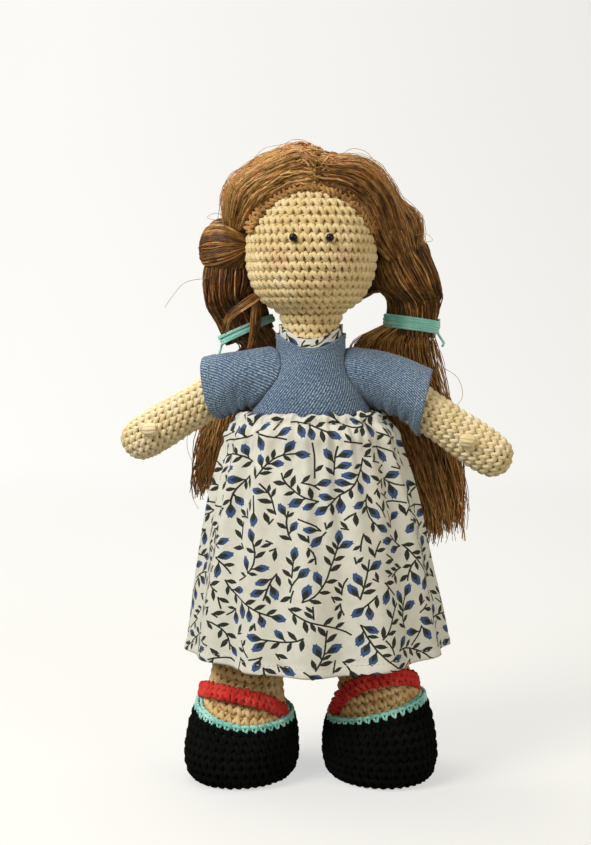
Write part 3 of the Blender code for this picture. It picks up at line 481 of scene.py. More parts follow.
# %% Plied yarn as a material
def plied_yarn(name, colour, deep, pale, roughness=0.75, sheen=0.25, ply=0.0007, relief=0.00012,
               blush=None, specular=None):
    material, tree, shader = start_material(name, roughness, sheen, specular=specular)
    place = add_node(tree, "ShaderNodeTexCoord").outputs
    patches = add_node(tree, "ShaderNodeTexNoise", {"Vector": place["Object"], "Scale": 90.0, "Detail": 2.0})
    tint = add_node(tree, "ShaderNodeValToRGB", {"Fac": patches},
        [(0.30, deep), (0.52, colour), (0.75, pale)])
    if blush:
        tint = blush(tree, place["Object"], tint)
    # The plies slant, because the wave's phase runs both along the tube and round it.
    parts = add_node(tree, "ShaderNodeSeparateXYZ", {"Vector": place["UV"]}).outputs
    around = add_node(tree, "ShaderNodeMath", {0: parts["X"], 1: 600.0}, operation="MULTIPLY")
    slant = add_node(tree, "ShaderNodeMath", {0: parts["Y"], 1: 1 / ply}, operation="MULTIPLY")
    both = add_node(tree, "ShaderNodeMath", {0: around, 1: slant}, operation="ADD")
    turn = add_node(tree, "ShaderNodeMath", {0: both, 1: math.tau}, operation="MULTIPLY")
    wave = add_node(tree, "ShaderNodeMath", {0: turn}, operation="SINE")
    fluff = add_node(tree, "ShaderNodeTexNoise", {"Vector": place["Object"], "Scale": 2600.0, "Detail": 2.0})
    lumps = add_node(tree, "ShaderNodeMath", {0: wave, 1: fluff}, operation="ADD")
    bump = add_node(tree, "ShaderNodeBump", {"Height": lumps, "Strength": 0.5, "Distance": relief})
    # Painted shade: the troughs of the ply wave, the grooves between the plies, darken the base colour by up to a
    # fifth.
    shade = add_node(tree, "ShaderNodeMapRange", {
        "Value": wave, "From Min": -1.0, "From Max": -0.2, "To Min": 0.80, "To Max": 1.0})
    groove_shade = add_node(tree, "ShaderNodeMix", {0: 1.0, 6: tint, 7: shade}, data_type="RGBA",
        blend_type="MULTIPLY")
    set_inputs(shader, {"Sheen Tint": linear(pale), "Base Color": groove_shade.outputs[2], "Normal": bump})
    return material


# %% A faint pink blush, rubbed on both cheeks
BLUSH_CENTRES = ((-0.0160, -0.0290, 0.2455), (0.0165, -0.0290, 0.2455))


def cheek_blush(tree, place, tint):
    for centre in BLUSH_CENTRES:
        away = add_node(tree, "ShaderNodeVectorMath", {0: place, 1: centre}, operation="DISTANCE")
        near = add_node(tree, "ShaderNodeMapRange", {
            "Value": away.outputs["Value"], "From Min": 0.0020, "From Max": 0.0085, "To Min": 0.28, "To Max": 0.0},
            interpolation_type="SMOOTHSTEP")
        tint = add_node(tree, "ShaderNodeMix", {0: near, 6: tint, 7: linear("E29A92")},
            data_type="RGBA").outputs[2]
    return tint


head_yarn = plied_yarn("cream_cotton_head", "E3CC98", "D9BF86", "EDDBAF", blush=cheek_blush)
limb_yarn = plied_yarn("cream_cotton_arms", "E8D5A9", "DEC895", "EFE0BE")
leg_yarn = plied_yarn("tan_cotton_legs", "DCBB84", "C4A06A", "EDD3A0")
black_yarn = plied_yarn("black_cotton", "060707", "030303", "0C0D0E", roughness=1.0, sheen=0.0, specular=0.12)
print("yarns:", [m.name for m in bpy.data.materials if "cotton" in m.name])


# %% Stuff with an uneven colour and surface
def grained(name, stops, grain, scale, roughness, relief, coat=0.0, detail=4.0, strength=0.4):
    """Noise stretched by `grain` along X, Y and Z, in colours and as a faint relief."""
    material, tree, shader = start_material(name, roughness, coat=coat)
    place = add_node(tree, "ShaderNodeTexCoord").outputs["Object"]
    if grain:
        place = add_node(tree, "ShaderNodeMapping", {"Vector": place, "Scale": grain}).outputs[0]
    noise = add_node(tree, "ShaderNodeTexNoise", {"Vector": place, "Scale": scale, "Detail": detail})
    tint = add_node(tree, "ShaderNodeValToRGB", {"Fac": noise}, stops)
    bump = add_node(tree, "ShaderNodeBump", {"Height": noise, "Strength": strength, "Distance": relief})
    set_inputs(shader, {"Base Color": tint, "Normal": bump})
    return material


# %% The shadowed skin under the stitches: the same yarn, seen through the holes
head_under, limb_under, leg_under, black_under, red_under = (
    grained(name, [(0.3, deep), (0.7, colour)], None, 700.0, 0.95, 0.0004, detail=3.0, strength=0.6)
    for name, colour, deep in (
        ("head_yarn_in_shadow", "94703F", "72522C"), ("arm_yarn_in_shadow", "97764B", "775732"),
        ("leg_yarn_in_shadow", "987547", "765A35"), ("shoe_yarn_in_shadow", "050505", "020202"),
        ("red_wool_in_shadow", "A3211C", "841814")))

# %% [markdown]
# ## Head
#
# The head and neck are crocheted in one piece, in level rounds, and stuffed hard. The skin is
# one loft from the neck to the crown. Stitches go only where they show: on the face, on the
# nape and on the neck, up to a few millimetres under the edge of the hair.

# %% The head's loft
NECK_FOOT, CHIN, CROWN = 0.2025, 0.2175, 0.2885
HEAD_RADIUS, HEAD_HEIGHT, NECK_RADIUS, NECK_LENGTH = 0.0312, 0.0710, 0.0136, 0.0150
NECK_SHARES = ((0.0, 0.97), (0.45, 1.0), (0.85, 1.01))
HEAD_SHARES = (
    (0.03, 0.49), (0.12, 0.75), (0.23, 0.91), (0.36, 0.99), (0.48, 1.0), (0.60, 0.96),
    (0.71, 0.875), (0.82, 0.725), (0.91, 0.53), (0.97, 0.29), (0.995, 0.10),
)


def head_rings(grow_by, count=48, stations=60):
    rows = [(NECK_FOOT + NECK_LENGTH * h, NECK_RADIUS * r) for h, r in NECK_SHARES]
    rows += [(CHIN + HEAD_HEIGHT * h + grow_by * (2 * h - 1), HEAD_RADIUS * r) for h, r in HEAD_SHARES]
    loops = [ring(UP * z, np.array([r + grow_by, 0, 0]), BACK * (r + grow_by), count) for z, r in rows]
    return refine(loops, stations)


HAIRLINE_EDGE = np.array([0.0, -0.0185, CROWN - 0.0100])
HAIRLINE_WAY = np.array([0.0, math.cos(math.radians(24)), math.sin(math.radians(24))])


def face_shows(points):
    """In front of the hairline's plane or a little behind it, and the neck."""
    return ((points - HAIRLINE_EDGE) @ HAIRLINE_WAY < 0.0045) | (points[:, 2] < CHIN + 0.010)


stuffed_skin("head", "head", "crochet_cream", head_rings(-0.0012), head_rings(-0.0004),
             head_under, head_yarn, seed=3, keep=face_shows)

# %% [markdown]
# ## Eyes
#
# The eyes are 4 mm glass beads, sewn on so that half of each sits among the stitches. Black
# glass is smooth, which gives one sharp spot of light.

# %% Bead eyes
bead_glass = start_material("black_glass_bead", 0.12, colour="070708", specular=0.30)[0]


def make_bead(side):
    name = f"{SIDES[side]}_bead_eye"
    low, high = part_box(f"{SIDES[side]}_eye")
    centre = (low + high) / 2
    mesh = edit_mesh(bpy.data.meshes.new(name), lambda work: bmesh.ops.create_icosphere(
        work, subdivisions=3, radius=(high.z - low.z) / 2))
    for v in mesh.vertices:
        v.co += centre + Vector((0, 0.0010, 0))
    settle(link_object(name, mesh, bead_glass), "head", "bead", f"{SIDES[side]}_eye")
    print(name, "at", [round(v, 4) for v in centre])


for side in SIDES:
    make_bead(side)

# %% [markdown]
# ## Arms and legs
#
# Each limb is a loft round its own axis. An arm starts as a ball at the shoulder, and ends in a
# mitten hand with a small bobble for a thumb. A leg starts as a ball at the hip and widens into
# the foot, which fills the shoe.

# %% The arms' lofts
SHOULDER_HALF, SHOULDER_HEIGHT = 0.0290, 0.1917
ARM_ROOT, ARM_RADIUS = 0.0090, 0.0102
ARM_SHARES = (
    (0.14, 0.885), (0.36, 0.945), (0.56, 0.96), (0.74, 1.0), (0.86, 0.98), (0.94, 0.82), (0.985, 0.46),
    (1.0, 0.10))
ARM_LENGTH = {1: 0.0785, -1: 0.0752}
ARM_DROOP = {1: math.radians(34.0), -1: math.radians(30.0)}
ARM_BACKWARD = {1: math.radians(-6.0), -1: math.radians(20.0)}


def arm_axes(side):
    yaw = side * ARM_BACKWARD[side]
    out = np.array([side * math.cos(yaw), side * math.sin(yaw), 0.0])
    along = out * math.cos(ARM_DROOP[side]) - UP * math.sin(ARM_DROOP[side])
    front = np.array([math.sin(yaw), -math.cos(yaw), 0.0])
    return along, front, np.cross(along, front) * -side


def ball_start(radius, opening, grow_by):
    """How far along and how wide are the rings of the ball that a limb starts with."""
    turns = [math.asin(opening / radius) * (1 - s) + math.pi / 2 * s for s in (0.0, 0.34, 0.67, 1.0)]
    return [(-(radius + grow_by) * math.cos(a), (radius + grow_by) * math.sin(a)) for a in turns]


def arm_rings(side, grow_by=0.0, count=28, stations=50):
    along, front, up = arm_axes(side)
    root = np.array([side * SHOULDER_HALF, 0, SHOULDER_HEIGHT])
    places = ball_start(ARM_ROOT, 0.004, grow_by)
    places += [((ARM_LENGTH[side] + grow_by) * reach, ARM_RADIUS * wide + grow_by) for reach,
        wide in ARM_SHARES]
    return refine([ring(root + along * d, front * r, up * r, count) for d, r in places], stations)


# %% The arms
for side, name in SIDES.items():
    stuffed_skin(f"{name}_arm", f"{name}_arm", "crochet_cream", arm_rings(side, -0.0012), arm_rings(side),
                 limb_under, limb_yarn, seed=20 + side, size=0.95, wide=0.0037, high=0.0039, lean=0.12)


# %% The thumbs: bobbles, nine loops of yarn drawn together at both ends
def make_thumb(side, loops=9):
    name = f"{SIDES[side]}_thumb_bobble"
    low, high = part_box(f"{SIDES[side]}_thumb")
    middle, radius = np.array((low + high) / 2), (high.z - low.z) / 2
    along, front, up = arm_axes(side)
    pole = unit(along + 0.5 * up)
    first = unit(np.cross(pole, front))
    second = np.cross(pole, first)
    t = np.linspace(0.12, 0.88, 9)[:, None] * math.pi
    paths = []
    for turn in full_turn(loops):
        bow = first * math.cos(turn) + second * math.sin(turn)
        paths.append(middle + pole * np.cos(t) * radius * 0.95 + bow * np.sin(t) * (radius - 0.0011))
    thumb = link_object(name, cord_mesh(name, paths, [0.00115] * loops, sides=6), limb_yarn)
    settle(thumb, f"{SIDES[side]}_arm", "crochet_cream", f"{SIDES[side]}_thumb")
    rings = []
    for a in np.linspace(0.15, math.pi - 0.15, 8):
        wide = math.sin(a) * radius * 0.72
        rings.append(ring(middle + pole * math.cos(a) * radius * 0.7, first * wide, second * wide, 12))
    settle(loft(name + "_core", np.array(rings), limb_under), f"{SIDES[side]}_arm", "crochet_cream")


for side in SIDES:
    make_thumb(side)

# %% The legs' lofts, down into the shoes
HIP = {s: np.array([s * 0.0146, 0, 0.1380]) for s in SIDES}
ANKLE = {s: np.array([s * 0.0300, 0, 0.0500]) for s in SIDES}
LEG_TOP, LEG_RADIUS = 0.0142, 0.0168
LEG_SHARES = ((0.20, 0.845), (0.42, 0.90), (0.62, 0.97), (0.82, 1.0), (1.0, 0.98))
SHOE_WIDE, SHOE_LONG, SHOE_HIGH, SHOE_FORWARD = 0.0262, 0.0312, 0.0335, 0.0100
SHOE_WALL, SHOE_SOLE = 0.0030, 0.0034
SHOE_SHARES = ((0.0, 0.80), (0.10, 0.93), (0.30, 1.0), (0.55, 0.99), (0.80, 0.945), (1.0, 0.88))
TOE_OUT = math.radians(17.0)
# The rims are uneven: how far up all round, how far more towards the doll's left and less towards
# its right, and how far down in front.
RIM_TILT = {1: (-0.0019, 0.0056, -0.0026), -1: (-0.0022, 0.0039, 0.0038)}


def toe_axes(side):
    turn = side * TOE_OUT
    return np.array([side * math.cos(turn), side * math.sin(turn), 0]), np.array(
        [-math.sin(turn), math.cos(turn), 0])


def shoe_ring(side, level, grow_by, count=40, lift=0.0):
    across, heel = toe_axes(side)
    plan = np.interp(level, *zip(*SHOE_SHARES))
    centre = np.array([side * 0.0300, 0, 0]) + heel * (0.0045 * level**3
        - SHOE_FORWARD) + UP * (SHOE_HIGH * level + lift)
    loop = ring(centre, across * (SHOE_WIDE * plan + grow_by), heel * (SHOE_LONG * plan + grow_by), count)
    turns = full_turn(count)
    high, tilt, dip = RIM_TILT[side]
    loop[:, 2] += level**3 * (high + tilt * np.cos(turns) - dip * np.maximum(0, -np.sin(turns)))
    return loop


def leg_rings(side, grow_by=0.0, count=40, stations=90):
    along = unit(ANKLE[side] - HIP[side])
    across = unit(np.cross(BACK, along)) * -side
    length = np.linalg.norm(ANKLE[side] - HIP[side])
    places = ball_start(LEG_TOP, 0.005, grow_by)
    places += [(length * reach, LEG_RADIUS * wide + grow_by) for reach, wide in LEG_SHARES]
    loops = [ring(HIP[side] + along * d, across * r, BACK * r, count) for d, r in places]
    for level in (1.0, 0.80, 0.50, 0.28, (SHOE_SOLE + 0.0003 - grow_by) / SHOE_HIGH):
        loops.append(shoe_ring(side, level, grow_by - SHOE_WALL - 0.0003, count))
    return refine(loops, stations)


# %% The legs, with stitches down to a little inside the shoes
for side, name in SIDES.items():
    stuffed_skin(f"{name}_leg", "legs", "crochet_tan", leg_rings(side, -0.0012), leg_rings(side), leg_under,
        leg_yarn,
                 seed=30 + side, size=1.06, wide=0.0043, high=0.0042, lean=0.12,
                 keep=lambda points: points[:, 2] > 0.0245)

# %% [markdown]
# ## Shoes
#
# A shoe is a crocheted cup: an oval sole worked from the middle outwards, and rounds that rise
# from it to the rim. The stitches of the sole are pressed flat by the doll's weight, so they are
# sunk until nothing reaches below the ground.

# %% The shoes
SHOE_STITCH = dict(wide=0.0042, high=0.0040, lean=0.12)


def shoe_loft(side, grow_by=0.0):
    levels = [0.0, 0.04, 0.10, 0.20, 0.30, 0.42, 0.55, 0.68, 0.80, 0.90, 1.0]
    return refine([shoe_ring(side, level, grow_by) for level in levels], 40)


def shrunk(loop, share):
    return loop.mean(0) + (loop - loop.mean(0)) * share


def make_shoe(side):
    name = SIDES[side]
    outer = shoe_loft(side, -0.0012)
    floor = [shrunk(outer[0], s) + UP * 0.0006 for s in (0.1, 0.6, 0.94)]
    rim = [shoe_ring(side, 1.0, -d) for d in (0.0018, 0.0026)]
    inside = [shoe_ring(side, level, -SHOE_WALL) for level in (0.97, 0.7, 0.4, 0.15)]
    skin = loft(f"{name}_shoe_skin", np.array(floor + list(outer) + rim + inside), black_under)
    settle(skin, "legs", "shoe_yarn", f"{name}_shoe")
    edge = shoe_ring(side, 0.0, -0.0006)
    sole = crochet_rounds(np.array([shrunk(edge, s) for s in np.linspace(0.12, 1.0, 8)]), sink=0.0,
        **SHOE_STITCH)
    sole[0][:, 2] = 0.0017
    sole[1][:] = -UP
    found = [np.concatenate(pair) for pair in zip(crochet_rounds(shoe_loft(side), **SHOE_STITCH), sole)]
    stitches = crochet(f"{name}_shoe_stitches", found, black_yarn, seed=40 + side, size=1.04)
    lowest = min(v.co.z for v in stitches.data.vertices)
    for v in stitches.data.vertices:
        v.co.z = max(v.co.z, 0.0)
    print(f"{name} shoe: lowest stitch was at {lowest * 1000:.2f} mm, now on the ground")
    settle(stitches, "legs", "shoe_yarn")


for side in SIDES:
    make_shoe(side)

# %% [markdown]
# ### Edging and straps
#
# The rim of each shoe is bordered in mint: one round of slip stitches, whose loops lie along the
# rim and whose feet hang over the black in little points. A red crocheted strap, two stitches
# wide and fluffy, crosses the instep from the outer side of the rim down to the inner side.

# %% One stitch of the edging, in millimetres
def edging_mesh(name):
    chain = [(-2.3, -0.2, 0.3), (-0.9, 0.75, 0.9), (0.9, 0.65, 0.9), (2.3, -0.2, 0.4)]
    back = [(-2.3, 0.1, -1.0), (0.0, 0.75, -1.2), (2.3, 0.1, -1.0)]
    down = [(-1.15, 0.2, 1.0), (-0.50, -1.6, 1.5), (0.0, -3.7, 1.2)]
    again = [(1.15, 0.2, 1.0), (0.50, -1.6, 1.5), (0.0, -3.7, 1.2)]
    paths = [np.array(part) / 1000 for part in (chain, back, down, again)]
    return cord_mesh(name, paths, [0.00084, 0.00080, 0.00062, 0.00062], sides=6)


edging_stitch = link_object("edging_stitch", edging_mesh("edging_stitch"))
sources.append(edging_stitch)
mint_yarn = plied_yarn("mint_cotton", "90D8CE", "70B8AE", "C0ECE4", ply=0.0010, relief=0.00008)
red_yarn = plied_yarn("red_wool", "D8322C", "BE2722", "E8534A", roughness=0.95, sheen=0.5, ply=0.0011,
    relief=0.0002)


def along_line(path, outs, pitch, count=None):
    """Where stitches lie along a line, which way is out, and which way is across the line."""
    lengths = lengths_along(path)
    count = count or round(lengths[-1] / pitch)
    at = (np.arange(count) + 0.5) * lengths[-1] / count
    out = unit(points_at(at, lengths, outs))
    ahead, behind = (points_at(at + step, lengths, path) for step in (pitch / 4, -pitch / 4))
    return points_at(at, lengths, path), out, unit(np.cross(out, ahead - behind)), np.ones(count)


# %% The edging and the straps
# A strap starts at a turn round the toe, at its outer end, and passes over three heights: at its
# outer end, over the instep and at its inner end. Its outer end reaches out a little more.
STRAP_STARTS = {1: math.radians(9), -1: math.radians(-2)}
STRAP_HEIGHTS = {1: (0.0318, 0.0505, 0.0290), -1: (0.0350, 0.0426, 0.0252)}
STRAP_ASIDE = {1: 0.0004, -1: 0.0020}


def upright_line(path, outs, pitch, size=1.0):
    spots, out, up, sizes = along_line(path, outs, pitch)
    return [spots, out, up * np.sign(up[:, 2:]), sizes * size]


def make_edging(side):
    path = shoe_ring(side, 1.0, -SHOE_WALL / 2, 60, 0.0014)
    closed = np.vstack([path, path[:1]])[::-1]
    found = upright_line(closed, unit((closed - path.mean(0)) * [1, 1, 0]), 0.0041)
    edging = crochet(f"{SIDES[side]}_edging_stitches", found, mint_yarn, 44 + side, 1.0, edging_stitch, 0.12)
    settle(edging, "legs", "mint_yarn", f"{SIDES[side]}_shoe_edging")


def make_strap(side):
    name = SIDES[side]
    across, heel = toe_axes(side)
    outer, middle, inner = STRAP_HEIGHTS[side]
    turns = np.linspace(STRAP_STARTS[side], math.radians(184), 41)
    share = turns / math.pi
    height = outer * (1 - share) * (1 - 2 * share) + 4 * middle * share * (1
        - share) + inner * share * (2 * share - 1)
    over, aside = np.maximum(0, np.sin(turns)), np.maximum(0, np.cos(turns))
    way = np.outer(np.cos(turns), across) - np.outer(np.sin(turns), heel)
    reach_out = 0.0203 + 0.0040 * over**2 + STRAP_ASIDE[side] * aside**2
    path = np.array([side * 0.0300, 0, 0]) + way * reach_out[:, None] + np.outer(height, UP)
    outs = unit(way + UP * 0.55 * over[:, None])
    ups = unit(np.cross(outs, np.gradient(path, axis=0)))
    rings = np.array([ring(p, o * 0.0009, u * 0.0023, 12) for p, o, u in zip(path, outs, ups)])
    settle(loft(f"{name}_strap_core", rings, red_under), "legs", "strap_yarn", f"{name}_ankle_strap")
    rows = [upright_line((path + ups * shift)[::turn], outs[::turn], 0.0032, 0.94)
            for shift, turn in ((0.0014, 1), (-0.0014, -1))]
    found = [np.concatenate(pair) for pair in zip(*rows)]
    stitches = crochet(f"{name}_strap_stitches", found, red_yarn, seed=46 + side, looseness=0.30)
    settle(stitches, "legs", "strap_yarn")


for side in SIDES:
    make_edging(side)
    make_strap(side)

# %% [markdown]
# ## Denim
#
# The top of the dress is light blue denim, a twill: blue warp threads pass over pale weft
# threads in steps, which makes slanting lines broken into short dashes. The cloth's UV map is
# in metres, so the lines keep the same spacing everywhere, about 1.1 mm. A bump follows the
# same pattern, because the warp stands proud of the weft.

# %% Denim twill
TWILL_PITCH = 0.00112
TWILL_SLOPE = math.radians(60)


def denim(name, colour="4C6885", deep="284062", pale="B2C1CC"):
    material, tree, shader = start_material(name, 0.85, sheen=0.2)
    place = add_node(tree, "ShaderNodeTexCoord").outputs
    turned = add_node(tree, "ShaderNodeMapping", {"Vector": place["UV"], "Rotation": (0, 0, -TWILL_SLOPE)})
    parts = add_node(tree, "ShaderNodeSeparateXYZ", {"Vector": turned}).outputs
    turns = add_node(tree, "ShaderNodeMath", {0: parts["Y"], 1: math.tau / TWILL_PITCH}, operation="MULTIPLY")
    wave = add_node(tree, "ShaderNodeMath", {0: turns}, operation="SINE")
    long_dashes = add_node(tree, "ShaderNodeMapping", {"Vector": turned, "Scale": (1000, 2700, 1)})
    dashes = add_node(tree, "ShaderNodeTexNoise", {"Vector": long_dashes, "Scale": 1.0, "Detail": 1.0})
    wear = add_node(tree, "ShaderNodeTexNoise", {"Vector": place["Object"], "Scale": 70.0, "Detail": 2.0})
    lines = add_node(tree, "ShaderNodeMath", {0: wave, 1: 0.14}, operation="MULTIPLY")
    both = add_node(tree, "ShaderNodeMath", {0: dashes, 1: lines}, operation="ADD")
    tint = add_node(tree, "ShaderNodeValToRGB", {"Fac": both}, [(0.34, deep), (0.52, colour), (0.76, pale)])
    faded = add_node(tree, "ShaderNodeValToRGB", {"Fac": wear}, [(0.3, "E6E9F0"), (0.7, "FFFFFF")])
    worn = add_node(tree, "ShaderNodeMix", {0: 1.0, 6: tint, 7: faded}, data_type="RGBA",
        blend_type="MULTIPLY")
    bump = add_node(tree, "ShaderNodeBump", {"Height": both, "Strength": 0.45, "Distance": 0.0002})
    set_inputs(shader, {"Base Color": worn.outputs[2], "Normal": bump})
    return material


blue_denim = denim("blue_denim")
thread_blue = start_material("pale_blue_thread", 0.6, colour="8FA0A9")[0]
thread_white = start_material("white_thread", 0.6, colour="C9C7BB")[0]

# %% [markdown]
# ## The torso, under the dress
#
# The body hides inside the dress. It is still there, a stuffed crocheted bag, because the arms
# and the skirt are held by it and a lifted arm shows a little of it.

# %% The torso's loft
TORSO_FOOT, TORSO_HEIGHT, TORSO_WIDE, TORSO_DEEP = 0.1525, 0.0497, 0.0270, 0.0198
TORSO_SHARES = (
    (0.0, 0.72, 0.72), (0.06, 0.88, 0.88), (0.20, 0.98, 0.98), (0.42, 1.0, 1.0),
    (0.62, 0.90, 0.94), (0.78, 0.735, 0.87), (0.90, 0.63, 0.82), (1.0, 0.572, 0.784),
)
CLOTH, GAP = 0.0010, 0.0003
TORSO_TOP = TORSO_FOOT + TORSO_HEIGHT


def torso_half(share):
    levels, wide, deep = zip(*TORSO_SHARES)
    return TORSO_WIDE * np.interp(share, levels, wide), TORSO_DEEP * np.interp(share, levels, deep)


def torso_loop(share, grow_by, turns):
    wide, deep = torso_half(share)
    return np.column_stack([
        (wide + grow_by) * np.cos(turns), (deep + grow_by) * np.sin(turns),
        np.full(len(turns), TORSO_FOOT + TORSO_HEIGHT * share)])


body_loops = refine([torso_loop(s, -0.0008, full_turn(48)) for s, _, _ in TORSO_SHARES], 40)
body = loft("body_skin", body_loops, limb_under)
settle(body, "torso", "crochet_cream", "body_cover", "body_stuffing", fill=0.9)

# %% [markdown]
# ## Cloth
#
# A piece of cloth is drawn as one surface and then given its thickness, so its cut edges show.
# Its UV map holds the cloth's own flat coordinates.

# %% Open or closed grids of cloth, and their thickness
def cloth_grid(name, rows, uvs, closed=True, keep=None):
    levels, count = rows.shape[:2]
    across = count if closed else count - 1
    faces, corners = [], []
    for j in range(levels - 1):
        for k in range(across):
            after = (k + 1) % count
            corner = [(j, k), (j, after), (j + 1, after), (j + 1, k)]
            if keep is None or keep(np.mean([rows[c] for c in corner], axis=0)):
                faces.append([a * count + b for a, b in corner])
                corners += [uvs(j, k), uvs(j, k + 1), uvs(j + 1, k + 1), uvs(j + 1, k)]
    mesh = new_mesh(name, rows.reshape(-1, 3), faces, corners)
    return edit_mesh(mesh, lambda work: bmesh.ops.delete(
        work, geom=[v for v in work.verts if not v.link_faces], context="VERTS"))


def thicken(mesh, thickness, *materials):
    """The surface stays where it is, and the thickness goes to its inner side.

    Of several materials, the second half are for that side."""
    cloth = link_object(mesh.name, mesh, *materials)
    step = cloth.modifiers.new("thickness", "SOLIDIFY")
    step.thickness = thickness
    step.offset = -1.0
    step.material_offset = len(materials) // 2
    step.use_quality_normals = True
    bpy.context.view_layer.update()
    made = bpy.data.meshes.new_from_object(cloth.evaluated_get(bpy.context.evaluated_depsgraph_get()))
    cloth.modifiers.clear()
    cloth.data = made
    made.shade_smooth()
    return cloth


# %% Which way a grid's faces point
def face_out(mesh, centre=(0, 0, 0)):
    """Turns the faces over if they point at the axis through `centre`."""
    way = sum(p.area * p.normal.dot(p.center - Vector(centre)) for p in mesh.polygons)
    if way < 0:
        mesh.flip_normals()
    return mesh


# %% [markdown]
# ## Bodice
#
# The bodice is one loft round the torso, open down the back between two buttons. Round each
# shoulder a hole is left for the arm, which the sleeve covers. The neckline is turned under and
# stitched 2 mm below its edge.

# %% The bodice's loft
BODICE_FOOT = 0.36
SLIT_HALF = 0.0004
NECK_SEAM = 0.0021
NECKLINE_RISE = 0.0022
NECKLINE_RADIUS = 0.0165


def neckline_loop(radius, base, turns):
    lift = 0.0065 * (1 - np.maximum(0, -np.sin(turns)) ** 2)
    return np.column_stack([radius * np.cos(turns), radius * np.sin(turns), TORSO_TOP + base + lift])


SLEEVE_HIGH, SLEEVE_DROP = 0.0150, 0.0015
SLEEVE_DEEP = {1: 0.0122, -1: 0.0110}
SLEEVE_LEVEL = SHOULDER_HEIGHT - SLEEVE_DROP


def outside_armholes(point):
    high = SLEEVE_HIGH * math.cos(math.radians(19)) - 0.0012
    deep = SLEEVE_DEEP[1 if point[0] > 0 else -1] - 0.0012
    inside = (point[1] / deep) ** 2 + ((point[2] - SLEEVE_LEVEL) / high) ** 2 < 1
    return not (inside and abs(point[0]) > 0.010)


def make_bodice():
    slit = SLIT_HALF / TORSO_DEEP
    turns = np.linspace(math.pi / 2 + slit, math.pi / 2 + math.tau - slit, 181)
    levels = (BODICE_FOOT, 0.42, 0.52, 0.62, 0.70, 0.78, 0.90, 1.0)
    loops = [torso_loop(s, GAP + CLOTH, turns) for s in levels]
    loops.append(neckline_loop(NECKLINE_RADIUS, NECKLINE_RISE, turns))
    rows = refine(loops, 56)
    # The turned edge is thicker down to the stitch line, which pulls in a little groove.
    drop = np.linalg.norm(np.diff(rows, axis=0), axis=2)[::-1].cumsum(axis=0)[::-1]
    drop = np.vstack([drop, np.zeros((1, rows.shape[1]))])
    outward = unit(rows * [1, 1, 0])
    groove_shade = np.exp(-((drop - NECK_SEAM) / 0.0004) ** 2)
    rows = rows + outward * (0.00025 * (drop < NECK_SEAM) - 0.00022 * groove_shade)[..., None]
    along = lengths_along(rows)
    mesh = cloth_grid("bodice_cloth", rows, lambda j, k: (turns[k] * 0.022, along[j]), False,
        outside_armholes)
    bodice = thicken(face_out(mesh, (0, 0, SLEEVE_LEVEL)), CLOTH, blue_denim)
    settle(bodice, "torso", "denim", "bodice")
    return np.vstack([points_at([NECK_SEAM], d[::-1], line[::-1]) for line,
        d in zip(rows.swapaxes(0, 1), drop.T)])


neckline_seam = make_bodice()
print("neckline seam:", len(neckline_seam), "points")


# %% Dashes of sewing thread along a seam
def dash_mesh(name, length, radius):
    bow = [(-length / 2, 0, -radius), (-length / 4, 0, radius * 0.6), (length / 4, 0, radius * 0.6),
           (length / 2, 0, -radius)]
    return cord_mesh(name, [bow], [radius], sides=4)


thread_dash = link_object("thread_dash", dash_mesh("thread_dash", 0.0016, 0.00020))
sources.append(thread_dash)


def topstitch(name, path, outs, thread, pitch=0.0024, seed=60, closed=False):
    """The dashes' X axis runs along the path, so `up` is the way across it."""
    if closed:
        path, outs = np.vstack([path, path[:1]]), np.vstack([outs, outs[:1]])
    count = int(lengths_along(path)[-1] / pitch)
    spots, out, up, sizes = along_line(path, outs, pitch, count)
    return crochet(name, [spots + out * 0.0001, out, up, sizes], thread, seed, 1.0, thread_dash, 0.05)


neck_ways = unit(neckline_seam * [1, 1, 0] + [0, 0, 0.004])
settle(topstitch("neckline_topstitch", neckline_seam, neck_ways, thread_blue), "torso", "denim")

# %% [markdown]
# ## Sleeves
#
# A short sleeve runs from the armhole to a cuff that is wider than the arm and stands off it.
# Soft creases run from the underarm, and the cuff is turned under and stitched 4 mm from its
# edge.

# %% The sleeves' lofts
SLEEVE_LENGTH = {1: 0.0348, -1: 0.0268}
SLEEVE_DROOP = {1: math.radians(21.0), -1: math.radians(12.5)}
SLEEVE_LEAN, CUFF_LEAN = math.radians(19.0), math.radians(-13.0)
CUFF_HIGH, CUFF_DEEP, CUFF_SEAM = 0.0156, 0.0138, 0.875


def bodice_reach(height, back):
    wide, deep = torso_half(np.minimum(1.0, (height - TORSO_FOOT) / TORSO_HEIGHT))
    wide, deep = wide + CLOTH + 2 * GAP, deep + CLOTH + 2 * GAP
    return wide * np.sqrt(np.maximum(0.0, 1 - (back / deep) ** 2))


